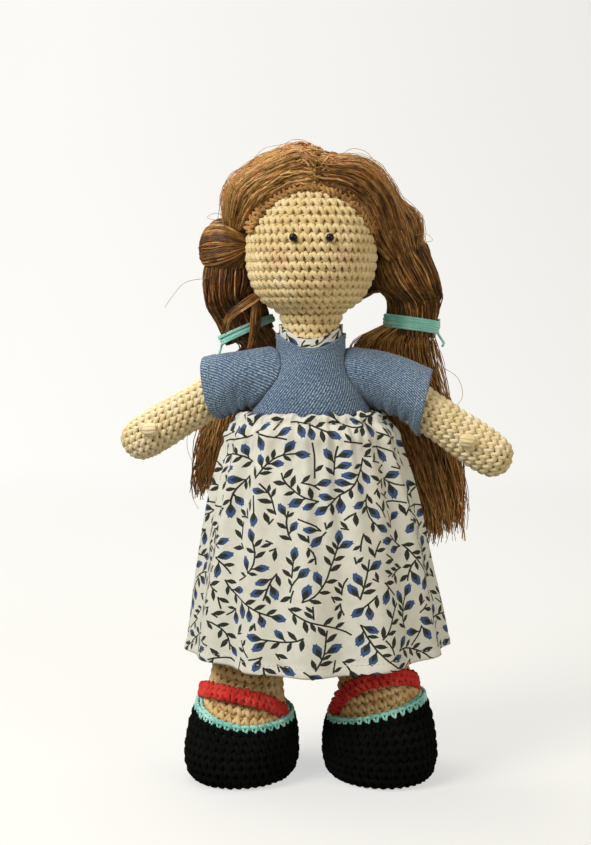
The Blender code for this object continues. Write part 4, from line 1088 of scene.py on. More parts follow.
def sleeve_rows(side, count=72, levels=44):
    yaw = side * ARM_BACKWARD[side]
    out = np.array([side * math.cos(yaw), side * math.sin(yaw), 0.0])
    depth = np.array([-math.sin(yaw), math.cos(yaw), 0.0])
    wide = float(bodice_reach(SLEEVE_LEVEL, 0.0))
    root = np.array([side * wide, (wide - SHOULDER_HALF) * side * out[1] / out[0], SLEEVE_LEVEL])
    loop = ring(root, UP * -SLEEVE_HIGH * math.cos(SLEEVE_LEAN), BACK * SLEEVE_DEEP[side], count)
    loop[:, 0] = side * bodice_reach(loop[:, 2], loop[:, 1])
    loops = [loop]
    for share in (0.3, 0.65, 1.0):
        droop, lean = SLEEVE_DROOP[side] * share, SLEEVE_LEAN + (CUFF_LEAN - SLEEVE_LEAN) * share
        high = SLEEVE_HIGH * (1 - share) + CUFF_HIGH * share
        deep = SLEEVE_DEEP[side] * (1 - share) + CUFF_DEEP * share
        centre = root + (out * math.cos(droop) - UP * math.sin(droop)) * (SLEEVE_LENGTH[side] * share)
        down = out * math.sin(lean) - UP * math.cos(lean)
        loops.append(ring(centre, down * high, depth * deep, count))
    return refine(loops, levels)


def crease_sleeve(rows, side):
    share = np.linspace(0, 1, len(rows))[:, None]
    a = full_turn(rows.shape[1])[None, :]
    middle = np.sin(math.pi * share)
    puff = 0.0003 * np.exp(-((share - 0.10) / 0.07) ** 2) - 0.0007 * np.exp(-(share / 0.03) ** 2)
    puff = puff - 0.0012 * middle * np.maximum(0, -np.cos(a)) ** 2
    under = np.exp(-((np.sin(a / 2)) / 0.45) ** 2)
    folds = 0.0009 * under * np.sin(9 * share * math.pi + 1.3 * a * side) * middle
    soft = 0.0005 * middle * np.sin(3 * a + 5.0 * share + side) + 0.0003 * middle * np.sin(5 * a - 7 * share)
    hem = 0.0003 * (share > CUFF_SEAM) - 0.00035 * np.exp(-((share - CUFF_SEAM) / 0.016) ** 2)
    flutter = 0.0006 * share**3 * np.sin(4 * a + 0.8 * side)
    outward = unit(rows - rows.mean(axis=1, keepdims=True))
    return rows + outward * (puff + folds + soft + hem + flutter)[..., None]


def make_sleeve(side):
    name = SIDES[side]
    rows = crease_sleeve(sleeve_rows(side), side)
    reach = lengths_along(rows)
    turn = math.radians({1: 46, -1: 94}[side])

    def flat(j, k):
        along, around = reach[j], k * math.tau / rows.shape[1] * 0.0150
        c, s = math.cos(turn), math.sin(turn)
        return along * c - around * s, along * s + around * c

    mesh = face_out(cloth_grid(f"{name}_sleeve_cloth", rows, flat), rows.mean(axis=(0, 1)))
    sleeve = thicken(mesh, CLOTH, blue_denim)
    seam = rows[int(len(rows) * CUFF_SEAM)]
    ways = unit(seam - seam.mean(0))
    stitches = topstitch(f"{name}_cuff_topstitch", seam, ways, thread_blue, seed=62 + side, closed=True)
    for piece in (sleeve, stitches):
        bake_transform(piece)
    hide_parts(f"{name}_sleeve")


for side in SIDES:
    make_sleeve(side)

# %% [markdown]
# ## A printed cotton
#
# The skirt is white cotton with a small all-over print: thin dark stems with leaves, and blue
# buds held in dark sepals. The print is laid out here from three outlines of its own, a leaf, a
# bud and its sepal, along vines that wander at random. The outlines become faces of the cloth
# itself, in their own colours, so the edges of the print stay sharp however close one looks,
# and they crease with the cloth.
#
# A fabric's pattern keeps its size where the skirt narrows, because the extra cloth is taken up
# in gathers. So each outline is drawn in millimetres at its own place: `span` is how wide the
# cloth shows at each height.

# %% The outlines, in metres, each with its foot at (0, 0) and its tip along X
LEAF = np.array([(0, 0), (0.9, 0.55), (2.1, 0.88), (3.3, 0.55), (4.4, 0), (3.1, -0.72), (1.9, -0.82),
    (0.8, -0.45)]) / 770
BUD = np.array([
    (0.2, 0.35), (1.2, 1.15), (2.4, 1.62), (3.5, 1.30), (4.3, 0.85), (5.0, 0.95), (4.7, 0.30), (5.2, -0.25),
    (4.4, -0.65), (3.6, -1.25), (2.4, -1.55), (1.2, -1.10), (0.2, -0.35)]) / 800
SEPAL = np.array([(-0.3, 0.25), (0.9, 0.95), (2.0, 0.85), (3.4, 0.10), (2.1, -0.70), (0.9, -0.90),
    (-0.3, -0.25)]) / 800
STEM_WIDTH = 0.00078
GROUND, DARK, BLUE = 0, 1, 2


def place_outline(outline, foot, heading, size, span, length):
    """An outline in cloth shares: X as a share of the cloth's width there, Y of its length."""
    c, s = math.cos(heading), math.sin(heading)
    moved = outline * size @ np.array([[c, s], [-s, c]])
    v = np.clip(foot[1] + moved[:, 1] / length, 0, 1)
    return np.column_stack([foot[0] + moved[:, 0] / span(v), v])


# %% A map of what is already printed
def outline_holds(outline, x, y):
    inside = np.zeros(np.shape(x), bool)
    for (ax, ay), (bx, by) in zip(outline, np.roll(outline, -1, axis=0)):
        slope = (bx - ax) / (by - ay if by != ay else 1.0)
        inside ^= ((ay > y) != (by > y)) & (x < ax + (y - ay) * slope)
    return inside


class PrintMap:
    def __init__(self, span, length, seed):
        self.span, self.length = span, length
        self.random = np.random.default_rng(seed)
        self.rows, self.cols = int(length / 0.00035), int(float(span(1.0)) / 0.00035)
        self.taken = np.zeros((self.rows, self.cols), bool)
        self.shapes = []

    def cells(self, outline, grow_by=1.0):
        centre = outline.mean(0)
        shape = (centre + (outline - centre) * grow_by) * [self.cols, self.rows]
        low, high = np.floor(shape.min(0)).astype(int), np.ceil(shape.max(0)).astype(int) + 1
        x, y = np.meshgrid(np.arange(low[0], high[0]), np.arange(low[1], high[1]))
        inside = outline_holds(shape, x + 0.5, y + 0.5)
        return y[inside], x[inside]

    def fits(self, outline, room=1.3):
        y, x = self.cells(outline, room)
        if len(y) == 0 or x.min() < 1 or x.max() >= self.cols - 1 or y.min() < 0 or y.max() >= self.rows:
            return False
        return not self.taken[y, x].any()

    def add(self, kind, outline, mark=True):
        self.shapes.append((kind, outline))
        if mark:
            y, x = self.cells(outline, 1.12)
            self.taken[y, x] = True

    def leaf(self, foot, heading, size):
        outline = place_outline(LEAF, foot, heading, size, self.span, self.length)
        if self.fits(outline):
            self.add(DARK, outline)

    def bud(self, foot, heading, size):
        outline = place_outline(BUD, foot, heading, size, self.span, self.length)
        if self.fits(outline, 1.15):
            self.add(BLUE, outline)
            self.add(DARK, place_outline(SEPAL, foot, heading, size, self.span, self.length), mark=False)
            return True
        return False

    def stem(self, foot, heading, length):
        half = STEM_WIDTH / 2
        strip = np.array([(-half, half), (length + half, half), (length + half, -half), (-half, -half)])
        outline = place_outline(strip, foot, heading, 1.0, self.span, self.length)
        across, along = length * math.cos(heading), length * math.sin(heading)
        tip = (foot[0] + across / float(self.span(foot[1])), foot[1] + along / self.length)
        return outline, tip

    def vine(self, foot, heading, steps, step=0.0026):
        curl, stems = self.random.uniform(-0.34, 0.34), []
        hung = len(self.shapes)
        for k in range(steps):
            outline, tip = self.stem(foot, heading, step)
            if not self.fits(outline, 1.25):
                break
            stems.append(outline)
            turn = 1 if k % 2 else -1
            lean = turn * self.random.uniform(0.7, 1.05)
            size = self.random.uniform(0.85, 1.12)
            if self.random.random() < 0.42:
                branch, end = self.stem(foot, heading + lean, 0.0016)
                if self.fits(branch, 1.0) and self.bud(end, heading + lean, size):
                    stems.append(branch)
            else:
                self.leaf(foot, heading + lean, size)
            if self.random.random() < 0.35:
                self.leaf(foot, heading - lean, size * 0.8)
            foot = tip
            curl += self.random.uniform(-0.14, 0.14) - 0.25 * curl
            heading += curl
        if stems:
            self.bud(foot, heading, 1.0)
        # A stem with nothing on it isn't printed.
        if len(self.shapes) > hung:
            for outline in stems:
                self.add(DARK, outline)

    def grow(self, vines, fillers):
        for k in range(vines + fillers):
            foot = self.random.uniform(0, 1, 2)
            heading = self.random.uniform(0, math.tau)
            steps = int(self.random.integers(6, 13)) if k < vines else int(self.random.integers(1, 4))
            self.vine(tuple(foot), heading, steps)
        return self.shapes


# %% Cloth with the print in it
def print_faces(shapes, points, border):
    """All outlines and loose points in one triangle mesh, then each triangle's colour."""
    verts = [tuple(p) for p in border]
    edges = [(k, (k + 1) % len(border)) for k in range(len(border))]
    for _, outline in shapes:
        first, count = len(verts), len(outline)
        verts += [tuple(p) for p in outline]
        edges += [(first + k, first + (k + 1) % count) for k in range(count)]
    verts += [tuple(p) for p in points]
    found = delaunay_2d_cdt([Vector(v) for v in verts], edges, [], 0, 1e-7, False)
    flat = np.array([tuple(v) for v in found[0]])
    faces = np.array(found[2])
    middles = flat[faces].mean(axis=1)
    order = np.argsort(middles[:, 0])
    sorted_x = middles[order, 0]
    slots = np.full(len(faces), GROUND, np.int32)
    for kind, outline in sorted(shapes, key=lambda shape: shape[0] == DARK):
        low, high = outline.min(0), outline.max(0)
        near = order[np.searchsorted(sorted_x, low[0]):np.searchsorted(sorted_x, high[0])]
        near = near[(middles[near, 1] > low[1]) & (middles[near, 1] < high[1])]
        slots[near[outline_holds(outline, middles[near, 0], middles[near, 1])]] = kind
    return flat, faces.tolist(), slots


def printed_mesh(name, place, shapes, points, border, flat_size):
    """`place` turns cloth shares into points in space."""
    flat, faces, slots = print_faces(shapes, points, border)
    points = place(flat[:, 0] / flat_size[0], flat[:, 1] / flat_size[1])
    mesh = new_mesh(name, points, faces, flat[np.concatenate(faces)])
    mesh.polygons.foreach_set("material_index", slots)
    return edit_mesh(mesh, lambda work: bmesh.ops.remove_doubles(
        work, verts=[v for v in work.verts if v.is_boundary], dist=0.00001))


# %% The cotton's colours
def cotton(name, colour, deep):
    """Plain weave: fine threads both ways, half a millimetre apart, and soft unevenness."""
    material, tree, shader = start_material(name, 0.9, sheen=0.1)
    place = add_node(tree, "ShaderNodeTexCoord").outputs
    soft = add_node(tree, "ShaderNodeTexNoise", {"Vector": place["Object"], "Scale": 220.0, "Detail": 3.0})
    tint = add_node(tree, "ShaderNodeValToRGB", {"Fac": soft}, [(0.3, deep), (0.65, colour)])
    threads = []
    for stretch in ((700, 2600, 1), (2600, 700, 1)):
        drawn = add_node(tree, "ShaderNodeMapping", {"Vector": place["UV"], "Scale": stretch})
        threads.append(add_node(tree, "ShaderNodeTexNoise", {"Vector": drawn, "Scale": 1.0}))
    weave = add_node(tree, "ShaderNodeMath", {0: threads[0], 1: threads[1]}, operation="ADD")
    bump = add_node(tree, "ShaderNodeBump", {"Height": weave, "Strength": 0.35, "Distance": 0.00012})
    set_inputs(shader, {"Base Color": tint, "Normal": bump})
    return material


print_cottons = [
    cotton("cotton_ground", "D5D4CA", "CBCABF"), cotton("cotton_print_dark", "20251F", "171B16"),
    cotton("cotton_print_blue", "34507F", "2B4573"), cotton("cotton_ground_inside", "C6C3B4", "BBB8A8"),
    cotton("cotton_print_dark_inside", "8E9188", "85887F"), cotton("cotton_print_blue_inside", "8A96AC",
        "818DA5"),
]

# %% [markdown]
# ## Skirt
#
# The skirt is gathered onto the bodice. Close to the waist the cloth makes many small gathers,
# held by a row of stitches 4 mm down, above which it stands up as a narrow frill. Lower down
# they run together into a dozen deep folds. All of this is one formula: waves round the skirt,
# whose number falls and whose depth grows from waist to hem.

# %% The skirt's shape
WAIST_SHARE = 0.43
WAIST = TORSO_FOOT + TORSO_HEIGHT * WAIST_SHARE
SKIRT_LENGTH, SKIRT_GATHER = 0.1185, 0.0008
HEM_WIDE, HEM_DEEP = 0.0620, 0.0460
FOLDS, FOLD_DEPTH = 12, 0.0022
FRILL_SHARE, HEM_SHARE = 0.036, 0.962


def skirt_place(u, v):
    a = math.pi / 2 + math.tau * u
    flare = np.maximum(v, 1e-9) ** 0.55
    start_wide, start_deep = (half + CLOTH + 3 * GAP + SKIRT_GATHER for half in torso_half(WAIST_SHARE))
    wide = start_wide + (HEM_WIDE - start_wide) * flare + CLOTH
    deep = start_deep + (HEM_DEEP - start_deep) * flare + CLOTH
    out = (SKIRT_GATHER * (1 - v) + FOLD_DEPTH * v) * np.cos(FOLDS * a + 0.7 * np.sin(3 * a))
    out += 0.0012 * np.exp(-((v - 0.30) / 0.25) ** 2) * np.cos(23 * a + 1.4 * np.sin(4 * a) + 0.6)
    out += 0.0005 * np.exp(-((v - 0.08) / 0.09) ** 2) * np.cos(44 * a + 2.1 * np.sin(5 * a)
        + 1.3 * np.cos(3 * a))
    out += 0.0005 * np.exp(-(v / 0.03) ** 2) * np.cos(58 * a + 2.6 * np.sin(4 * a + 1))
    out += 0.0008 * np.exp(-(v / 0.018) ** 2) - 0.0011 * np.exp(-((v - FRILL_SHARE) / 0.008) ** 2)
    out += 0.0014 * np.exp(-((v - 0.085) / 0.035) ** 2)
    out += 0.0003 * (v > HEM_SHARE) - 0.0003 * np.exp(-((v - HEM_SHARE) / 0.006) ** 2)
    out += 0.0007 * v**2 * np.sin(7 * a + 9 * v)
    lift = 0.0004 * np.exp(-(v / 0.02) ** 2) * (np.sin(9 * a + 0.9) + np.sin(23 * a)) * (1 + np.cos(a + 0.8))
    lift += 0.0003 * v**4 * np.sin(5 * a + 1.0) + v**2 * (0.0052 + 0.0008 * np.cos(a)) * np.cos(a) ** 2
    aside = 0.0030 * v
    across, along = (wide - 0.0013 * v) * np.cos(a) + out * np.cos(a), deep * np.sin(a) + out * np.sin(a)
    return np.column_stack([aside + across, along, WAIST - SKIRT_LENGTH * v + lift])


def skirt_span(v):
    """How far round the skirt shows, without its folds, at a height."""
    flare = np.maximum(v, 1e-9) ** 0.55
    wide, deep = 0.0315 + (HEM_WIDE - 0.0315) * flare, 0.0245 + (HEM_DEEP - 0.0245) * flare
    return math.pi * (3 * (wide + deep) - np.sqrt((3 * wide + deep) * (wide + 3 * deep)))


# %% The skirt
FLAT_WIDE = 0.36


def cloth_points(bands, wide, long):
    """Loose points in rows, closer together where the cloth is more gathered, and its border."""
    points, levels = [], []
    for low, high, rows, columns in bands:
        for j in range(rows):
            v = low + (high - low) * (j + 0.5) / rows
            levels.append(v)
            points += [((k + 0.25 + 0.5 * (j % 2)) / columns * wide, v * long) for k in range(columns)]
    side_levels = [0.0] + levels + [1.0]
    ends = [k / 400 * wide for k in range(401)]
    border = [(x, 0.0) for x in ends] + [(wide, v * long) for v in side_levels[1:-1]]
    border += [(x, long) for x in reversed(ends)] + [(0.0, v * long) for v in reversed(side_levels[1:-1])]
    return points, border


def clear_of_print(points, print_map, wide, long):
    kept = []
    for x, y in points:
        row = min(int(y / long * print_map.rows), print_map.rows - 1)
        column = min(int(x / wide * print_map.cols), print_map.cols - 1)
        if not print_map.taken[row, column]:
            kept.append((x, y))
    return kept


def printed_cloth(name, place, span, size, seed, plants, bands, centre, thickness):
    """`plants` is how many vines and how many shorter fillers are printed."""
    print_map = PrintMap(span, size[1], seed)
    shapes = print_map.grow(*plants)
    points, border = cloth_points(bands, *size)
    points = clear_of_print(points, print_map, *size)
    drawn = [(kind, outline * size) for kind, outline in shapes]
    mesh = face_out(printed_mesh(name, place, drawn, points, border, size), centre)
    cloth = thicken(mesh, thickness, *print_cottons)
    print(f"{name}: {len(shapes)} printed shapes, {len(cloth.data.polygons)} faces")
    return cloth


def make_skirt():
    skirt = printed_cloth("skirt_cloth", skirt_place, skirt_span, (FLAT_WIDE, SKIRT_LENGTH), 11, (600, 1800),
                          [(0.0, 0.16, 14, 400), (0.16, 1.0, 50, 200)], (0, 0, WAIST - SKIRT_LENGTH / 2),
                          0.0005)
    around = np.linspace(0, 1, 700, endpoint=False)
    stitches = []
    for label, level, seed in (("gather", FRILL_SHARE, 71), ("hem", HEM_SHARE, 72)):
        seam = skirt_place(around, np.full(700, level))
        ways = unit(seam * [1, 1, 0])
        stitches.append(topstitch(f"skirt_{label}_stitches", seam, ways, thread_white, seed=seed,
            closed=True))
    for piece in (skirt, *stitches):
        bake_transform(piece)
    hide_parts("skirt")


make_skirt()

# %% [markdown]
# ## Neck facing
#
# The same cotton lines the neckline and stands up a few millimetres round the neck.

# %% The facing
FACING_RADIUS, FACING_LONG = 0.0152, 0.0105


def facing_place(u, v):
    a = math.pi / 2 + math.tau * u
    top = TORSO_TOP + NECKLINE_RISE + 0.0042 + 0.0065 * (1 - np.maximum(0, -np.sin(a)) ** 2)
    lean = FACING_RADIUS + 0.0004 * np.sin(3 * a) * v
    return np.column_stack([lean * np.cos(a), lean * np.sin(a), top + (TORSO_TOP + GAP - top) * v])


around = math.tau * FACING_RADIUS
facing = printed_cloth("facing_cloth", facing_place, lambda v: around + 0 * np.asarray(v, float),
    (around, FACING_LONG),
                       4, (60, 260), [(0.0, 1.0, 6, 80)], (0, 0, TORSO_TOP), 0.0006)
settle(facing, "torso", "floral_cotton", "neck_facing")

# %% [markdown]
# ## Buttons, dowel and insoles
#
# These parts already have the right shape in the frame, so they only get a material. The two
# buttons at the back are pressed from pale plastic with a cloudy grain. The peg in the neck is
# beech, whose fine dark flecks run along it. The insoles are cut from grey card, in which the
# fibres of old paper show.

# %% Materials for the parts that stay as they are
pale_plastic = grained(
    "pale_plastic", [(0.35, "DDD8CA"), (0.65, "F0ECE2")], (1, 1, 1), 320.0, 0.28, 0.00002, coat=0.3)
beech = grained(
    "beech_wood", [(0.30, "A8814F"), (0.50, "C79F6C"), (0.72, "D9B98A")], (1, 1, 0.10), 900.0, 0.55, 0.00006)
grey_card = grained(
    "grey_card", [(0.30, "857A68"), (0.55, "A39884"), (0.75, "BDB4A2")], (1, 1, 0.3), 1200.0, 0.92, 0.00005)
for node_name, material in (("upper_button", pale_plastic), ("lower_button", pale_plastic),
    ("neck_dowel", beech),
                            ("left_insole", grey_card), ("right_insole", grey_card)):
    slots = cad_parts[node_name].material_slots
    for slot in slots:
        slot.material = material
    print(f"{node_name}: {material.name} in {len(slots)} slot(s)")

# %% [markdown]
# ## Hair
#
# The hair is fine brown yarn, knotted to a crocheted cap along a parting, combed out to both
# sides and bound in bunches. It is made as strands: every strand is a line that is given a
# thickness of half to three quarters of a millimetre, with a tone of its own between dark brown and copper. Under
# the strands lies a dark core, so that nothing shows through where they part.
#
# The strands of a bunch are laid out in its cross-section: each has an angle and a share of the
# way out from the middle, and keeps them from end to end while the bunch bends and swells.
# Strands gather in locks, which pull together towards their tips.

# %% A tree that turns lines into strands
def build_strand_tree():
    tree, given = start_tree("strands_on_lines", Yarn=("Material", None), Thickness=("Float", 0.00025),
                             Sides=("Int", 3))
    lines = add_node(tree, "GeometryNodeMeshToCurve", {"Mesh": given["Geometry"]})
    profile = add_node(tree, "GeometryNodeCurvePrimitiveCircle", {
        "Resolution": given["Sides"], "Radius": given["Thickness"]})
    wide = add_node(tree, "GeometryNodeInputNamedAttribute", {"Name": "wide"}, data_type="FLOAT")
    tubes = add_node(tree, "GeometryNodeCurveToMesh", {
        "Curve": lines, "Profile Curve": profile, "Scale": wide, "Fill Caps": True})
    real = add_node(tree, "GeometryNodeRealizeInstances", {"Geometry": tubes})
    smooth = add_node(tree, "GeometryNodeSetShadeSmooth", {"Geometry": real})
    done = add_node(tree, "GeometryNodeSetMaterial", {"Geometry": smooth, "Material": given["Yarn"]})
    add_node(tree, "NodeGroupOutput", {"Geometry": done})
    return tree


strand_tree = build_strand_tree()


def strands(name, body, paths, tones, wides=1.0, thickness=0.00025, sides=3):
    """`paths` is strands by points by XYZ. Tones and widths are given per strand or per point."""
    count, length = paths.shape[:2]
    tones = np.reshape(tones, (count, -1))
    mesh = bpy.data.meshes.new(name)
    starts = np.arange(count) * length
    edges = (starts[:, None] + np.arange(length - 1)[None, :]).ravel()
    mesh.vertices.add(count * length)
    mesh.vertices.foreach_set("co", paths.astype(np.float32).ravel())
    mesh.edges.add(len(edges))
    mesh.edges.foreach_set("vertices", np.column_stack([edges, edges + 1]).astype(np.int32).ravel())
    give_attributes(mesh, tone=np.broadcast_to(tones, (count, length)).reshape(-1),
                    wide=np.broadcast_to(wides, (count, length)).reshape(-1))
    mesh.update()
    piece = grow(name, mesh, strand_tree, Yarn=brown_yarn, Thickness=thickness, Sides=sides)
    print(f"{name}: {count} strands, {len(piece.data.polygons)} faces")
    return settle(piece, body, "hair_yarn")


# %% The hair's colours
def hair_material(name, stops, roughness=0.62):
    material, tree, shader = start_material(name, roughness, specular=0.35)
    tone = add_node(tree, "ShaderNodeAttribute", attribute_name="tone").outputs["Fac"]
    place = add_node(tree, "ShaderNodeTexCoord").outputs["Object"]
    drift = add_node(tree, "ShaderNodeTexNoise", {"Vector": place, "Scale": 260.0, "Detail": 4.0})
    small = add_node(tree, "ShaderNodeMapRange", {
        "Value": drift, "From Min": 0.3, "From Max": 0.7, "To Min": -0.2, "To Max": 0.2})
    both = add_node(tree, "ShaderNodeMath", {0: tone, 1: small}, operation="ADD")
    set_inputs(shader, {"Base Color": add_node(tree, "ShaderNodeValToRGB", {"Fac": both}, stops)})
    return material


brown_yarn = hair_material("brown_yarn", [
    (0.0, "3E240F"), (0.30, "68431D"), (0.58, "90652D"), (0.80, "BA9055"), (0.92, "D0A870"), (1.0, "C0743A")])
brown_under = start_material("brown_yarn_in_shadow", 0.9, colour="3A2410")[0]

# %% [markdown]
# ### The hair's outer shape
#
# The combed hair lies on the same shapes as the solids: a dome over the head, and two bulges a
# side. `reach` looks along a ray for where it leaves the dome or a bulge.

# %% The dome, the bulges and the bunches
HAIR_TOP, HAIR_WIDE, HAIR_DEEP, HAIR_DROP = 0.3002, 0.0430, 0.0400, 0.0740
HAIR_SHARES = (
    (0.0, 0.16), (0.02, 0.34), (0.06, 0.53), (0.15, 0.76), (0.25, 0.90), (0.36, 0.97), (0.50, 1.0),
    (0.62, 0.98), (0.74, 0.93), (0.86, 0.85), (1.0, 0.72),
)
PARTING = 0.002
LOBE = 0.0150
UPPER = {1: ((1.0, 0.14, 0.675), (0.90, 1.0, 1.45)), -1: ((0.94, 0.16, 0.62), (0.84, 0.95, 0.88))}
LOWER = {1: ((1.07, 0.21, 0.78), (1.05, 0.95, 1.12)), -1: ((0.90, 0.21, 0.865), (0.90, 0.95, 0.93))}
TIE_BELOW = {1: 0.0848, -1: 0.0876}
TIE_OUT = {1: 0.0490, -1: 0.0310}
TIE_BACK = 0.0165
TIE_TILT = {1: math.radians(6.0), -1: math.radians(22.0)}
TIE_TURNS = {1: 5, -1: 3}
TIE_PITCH, TIE_CORD = 0.00215, 0.00085
BUNCH_WIDE = {1: 0.0122, -1: 0.0128}
BUNCH_DEEP = 0.0068


def lobe(shares, side):
    (out, back, down), sizes = shares[side]
    return np.array([side * HAIR_WIDE * out, HAIR_DEEP * back,
        HAIR_TOP - HAIR_DROP * down]), LOBE * np.array(sizes)


def bunch_frame(side):
    middle = np.array([side * TIE_OUT[side], TIE_BACK, HAIR_TOP - TIE_BELOW[side]])
    across = np.array([side * math.cos(TIE_TILT[side]), 0, -math.sin(TIE_TILT[side])])
    return middle, across, unit(np.cross(across, BACK)) * -side


def in_dome(p):
    share = (HAIR_TOP - p[..., 2]) / HAIR_DROP
    levels, widths = zip(*HAIR_SHARES)
    size = np.interp(share, (-0.001,) + levels + (1.001,), (0.0,) + widths + (0.0,))
    return (p[..., 0] / HAIR_WIDE) ** 2 + (p[..., 1] / HAIR_DEEP) ** 2 < size**2


def in_head(p):
    levels = [CHIN + HEAD_HEIGHT * h for h, _ in HEAD_SHARES]
    size = np.interp(p[..., 2], levels, [HEAD_RADIUS * r for _, r in HEAD_SHARES], left=0, right=0)
    return p[..., 0] ** 2 + p[..., 1] ** 2 < size**2


def reach(start, ways, inside, far=0.075, steps=150):
    """How far along each ray the last point inside the shape lies."""
    at = np.linspace(0, far, steps)
    hits = inside(start[..., None, :] + ways[..., None, :] * at[:, None])
    return np.where(hits, at, 0).max(axis=-1)


def smooth_noise(random, count, length, waves=3, low=0.6, high=2.6):
    """A gentle wander for each strand: a few sines of random pace and phase along it."""
    t = np.linspace(0, 1, length)
    total = np.zeros((count, length))
    for _ in range(waves):
        pace, phase = random.uniform(low, high, (count, 1)), random.uniform(0, math.tau, (count, 1))
        total += np.sin(math.tau * pace * t + phase)
    return total / waves


# %% [markdown]
# ### From the parting to the ties
#
# The combed hair runs like the segments of an orange. Every strand starts on the parting and
# runs over the dome to the same place above the ear, where the bunch begins. At the front edge
# the layers step back one behind the other, which rounds the edge.

# %% The combed hair
POLE = {1: np.array([0.0485, -0.0034, 0.2445]), -1: np.array([-0.0400, -0.0106, 0.2610])}
FRONT_TURN, NAPE_TURN = math.radians(66), math.radians(222)
# Where the strands of each side tuck in, behind the first bulge.
TUCK = {1: np.array([0.0445, 0.0040, 0.2405]), -1: np.array([-0.0370, 0.0040, 0.2555])}
ROLL = 0.26


def sweep_paths(side, turns, depths, shares=0.0, length=20, end_share=1.0):
    """Lines over the dome: `turns` round the pole's axis, `depths` below the surface in metres,
    and `shares` of the way in from there to the head."""
    pole = POLE[side]
    centre = np.array([PARTING, pole[1], pole[2]])
    t = np.linspace(0, end_share, length)
    swing = t * math.radians(84)
    middle = np.column_stack([0 * turns, -np.cos(turns), np.sin(turns)])
    ways = middle[:, None, :] * np.cos(swing)[None, :, None] + np.array([side, 0, 0]) * np.sin(swing)[None,
        :, None]
    bulge, size = lobe(UPPER, side)

    def inside(p):
        return in_dome(p) | ((((p - bulge) / size) ** 2).sum(-1) < 1 if side > 0 else False)

    start = np.broadcast_to(centre, ways.shape)
    far, near = reach(start, ways, inside), reach(start, ways, in_head) + 0.0012
    # The hair lies lower along the parting, and stands a little higher beside it.
    top = np.exp(-((turns - FRONT_TURN - 0.3) / 0.7) ** 2)[:, None]
    if side > 0:
        far = far - top * 0.0066 * np.exp(-((t - 0.08) / 0.13) ** 2) - top * 0.0010 * np.exp(
            -((t - 0.5) / 0.2) ** 2)
    else:
        far = far - top * 0.0042 * np.exp(-(t / 0.09) ** 2) - top * 0.0026 * np.exp(-((t - 0.5) / 0.22) ** 2)
    for _ in range(3):
        far[:, 1:-1] = (far[:, :-2] + 2 * far[:, 1:-1] + far[:, 2:]) / 4
    far = far - np.maximum(0, far - near) * np.reshape(shares, (-1, 1)) - depths[:, None]
    points = centre + ways * far[..., None]
    close = np.clip((t - 0.78) / 0.22, 0, 1) ** 1.5
    points += (TUCK[side] - points) * (close * 0.88)[None, :, None]
    return points


def strand_looks(random, of, locks, mean, length=20):
    """A tone and a width for each strand: most are brown, a few gold or copper, some are thick."""
    count = len(of)
    tones = mean + random.normal(0, 0.16, count) + random.normal(0, 0.09, locks)[of]
    tones = np.clip(tones, 0, 0.86)
    tones[random.random(count) < 0.06] = 1.0
    wides = np.exp(random.normal(0, 0.28, count)) * np.where(random.random(count) < 0.10, 1.6, 1.0)
    taper = np.interp(np.linspace(0, 1, length), [0, 0.08, 0.85, 1], [0.8, 1, 1, 0.7])
    return tones, wides[:, None] * taper


def rolled(roll):
    """The front edge rolls under, from the dome's surface at 0 to the head at a quarter turn."""
    return FRONT_TURN + ROLL * (1 - np.sin(roll)), 1 - np.cos(roll)


def comb(side, part, count, seed):
    random = np.random.default_rng(seed + side)
    locks = 90
    of = random.integers(0, locks, count)
    if part == "front":
        roll = np.clip(random.uniform(0, math.pi / 2, locks)[of] + random.normal(0, 0.03, count), 0,
            math.pi / 2)
        turns, shares = rolled(roll)
    else:
        turns = FRONT_TURN + ROLL * 0.7 + random.uniform(0, 1,
            locks)[of] * (NAPE_TURN - FRONT_TURN - ROLL * 0.7)
        shares = np.zeros(count)
    turns = turns + random.normal(0, 0.018, count)
    depths = random.uniform(0, 0.0013, locks)[of] + np.abs(random.normal(0, 0.0005, count))
    paths = sweep_paths(side, turns, depths, shares)
    paths[..., 1] += smooth_noise(random, count, 20) * 0.0010
    paths[..., 1] += smooth_noise(random, locks, 20, 2, 0.5, 1.5)[of] * 0.0011
    paths[..., 2] += smooth_noise(random, count, 20) * 0.0008 + smooth_noise(random, count, 20, 3, 4,
        8) * 0.0005
    # Painted light: the combed hair on the doll's right, the side that faces the key lamp, is given a much lighter
    # mean tone than on its left.
    tones, wides = strand_looks(random, of, locks, {1: 0.43, -1: 0.72}[side])
    strands(f"{SIDES[side]}_{part}_hair", "head", paths, tones, wides, 0.00039, 3)


def comb_core(side):
    """The dark core: a closed loft whose rings run over the dome and back along the head."""
    front, shares = rolled(np.linspace(math.pi / 2, 0, 7))
    turns = np.concatenate([front + 0.03, np.linspace(FRONT_TURN + ROLL + 0.1, NAPE_TURN, 34)])
    shares = np.concatenate([shares, np.zeros(34)])
    outer = sweep_paths(side, turns, np.full(41, 0.0021), shares, length=18, end_share=0.97)
    inner = sweep_paths(side, turns, np.full(41, 0.0040), np.ones(41), length=18, end_share=0.97)
    loops = np.concatenate([outer, inner[:, ::-1]], axis=1)
    return settle(loft(f"{SIDES[side]}_hair_core", loops, brown_under), "head", "hair_yarn", fill=0.9)


for side in SIDES:
    comb(side, "front", 800, seed=5)
    comb(side, "back", 1050, seed=9)
    core = comb_core(side)
    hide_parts(f"{SIDES[side]}_hair_side")
    if side > 0:
        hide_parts("hair_cap")

# %% [markdown]
# ### Bunches and bulges
#
# Below the ear each bunch swells once or twice before its tie. The bulge on the doll's left is
# twisted, so its strands slant. On the right there are two: the upper one is yarn wound round
# sideways, the lower one hangs straight.

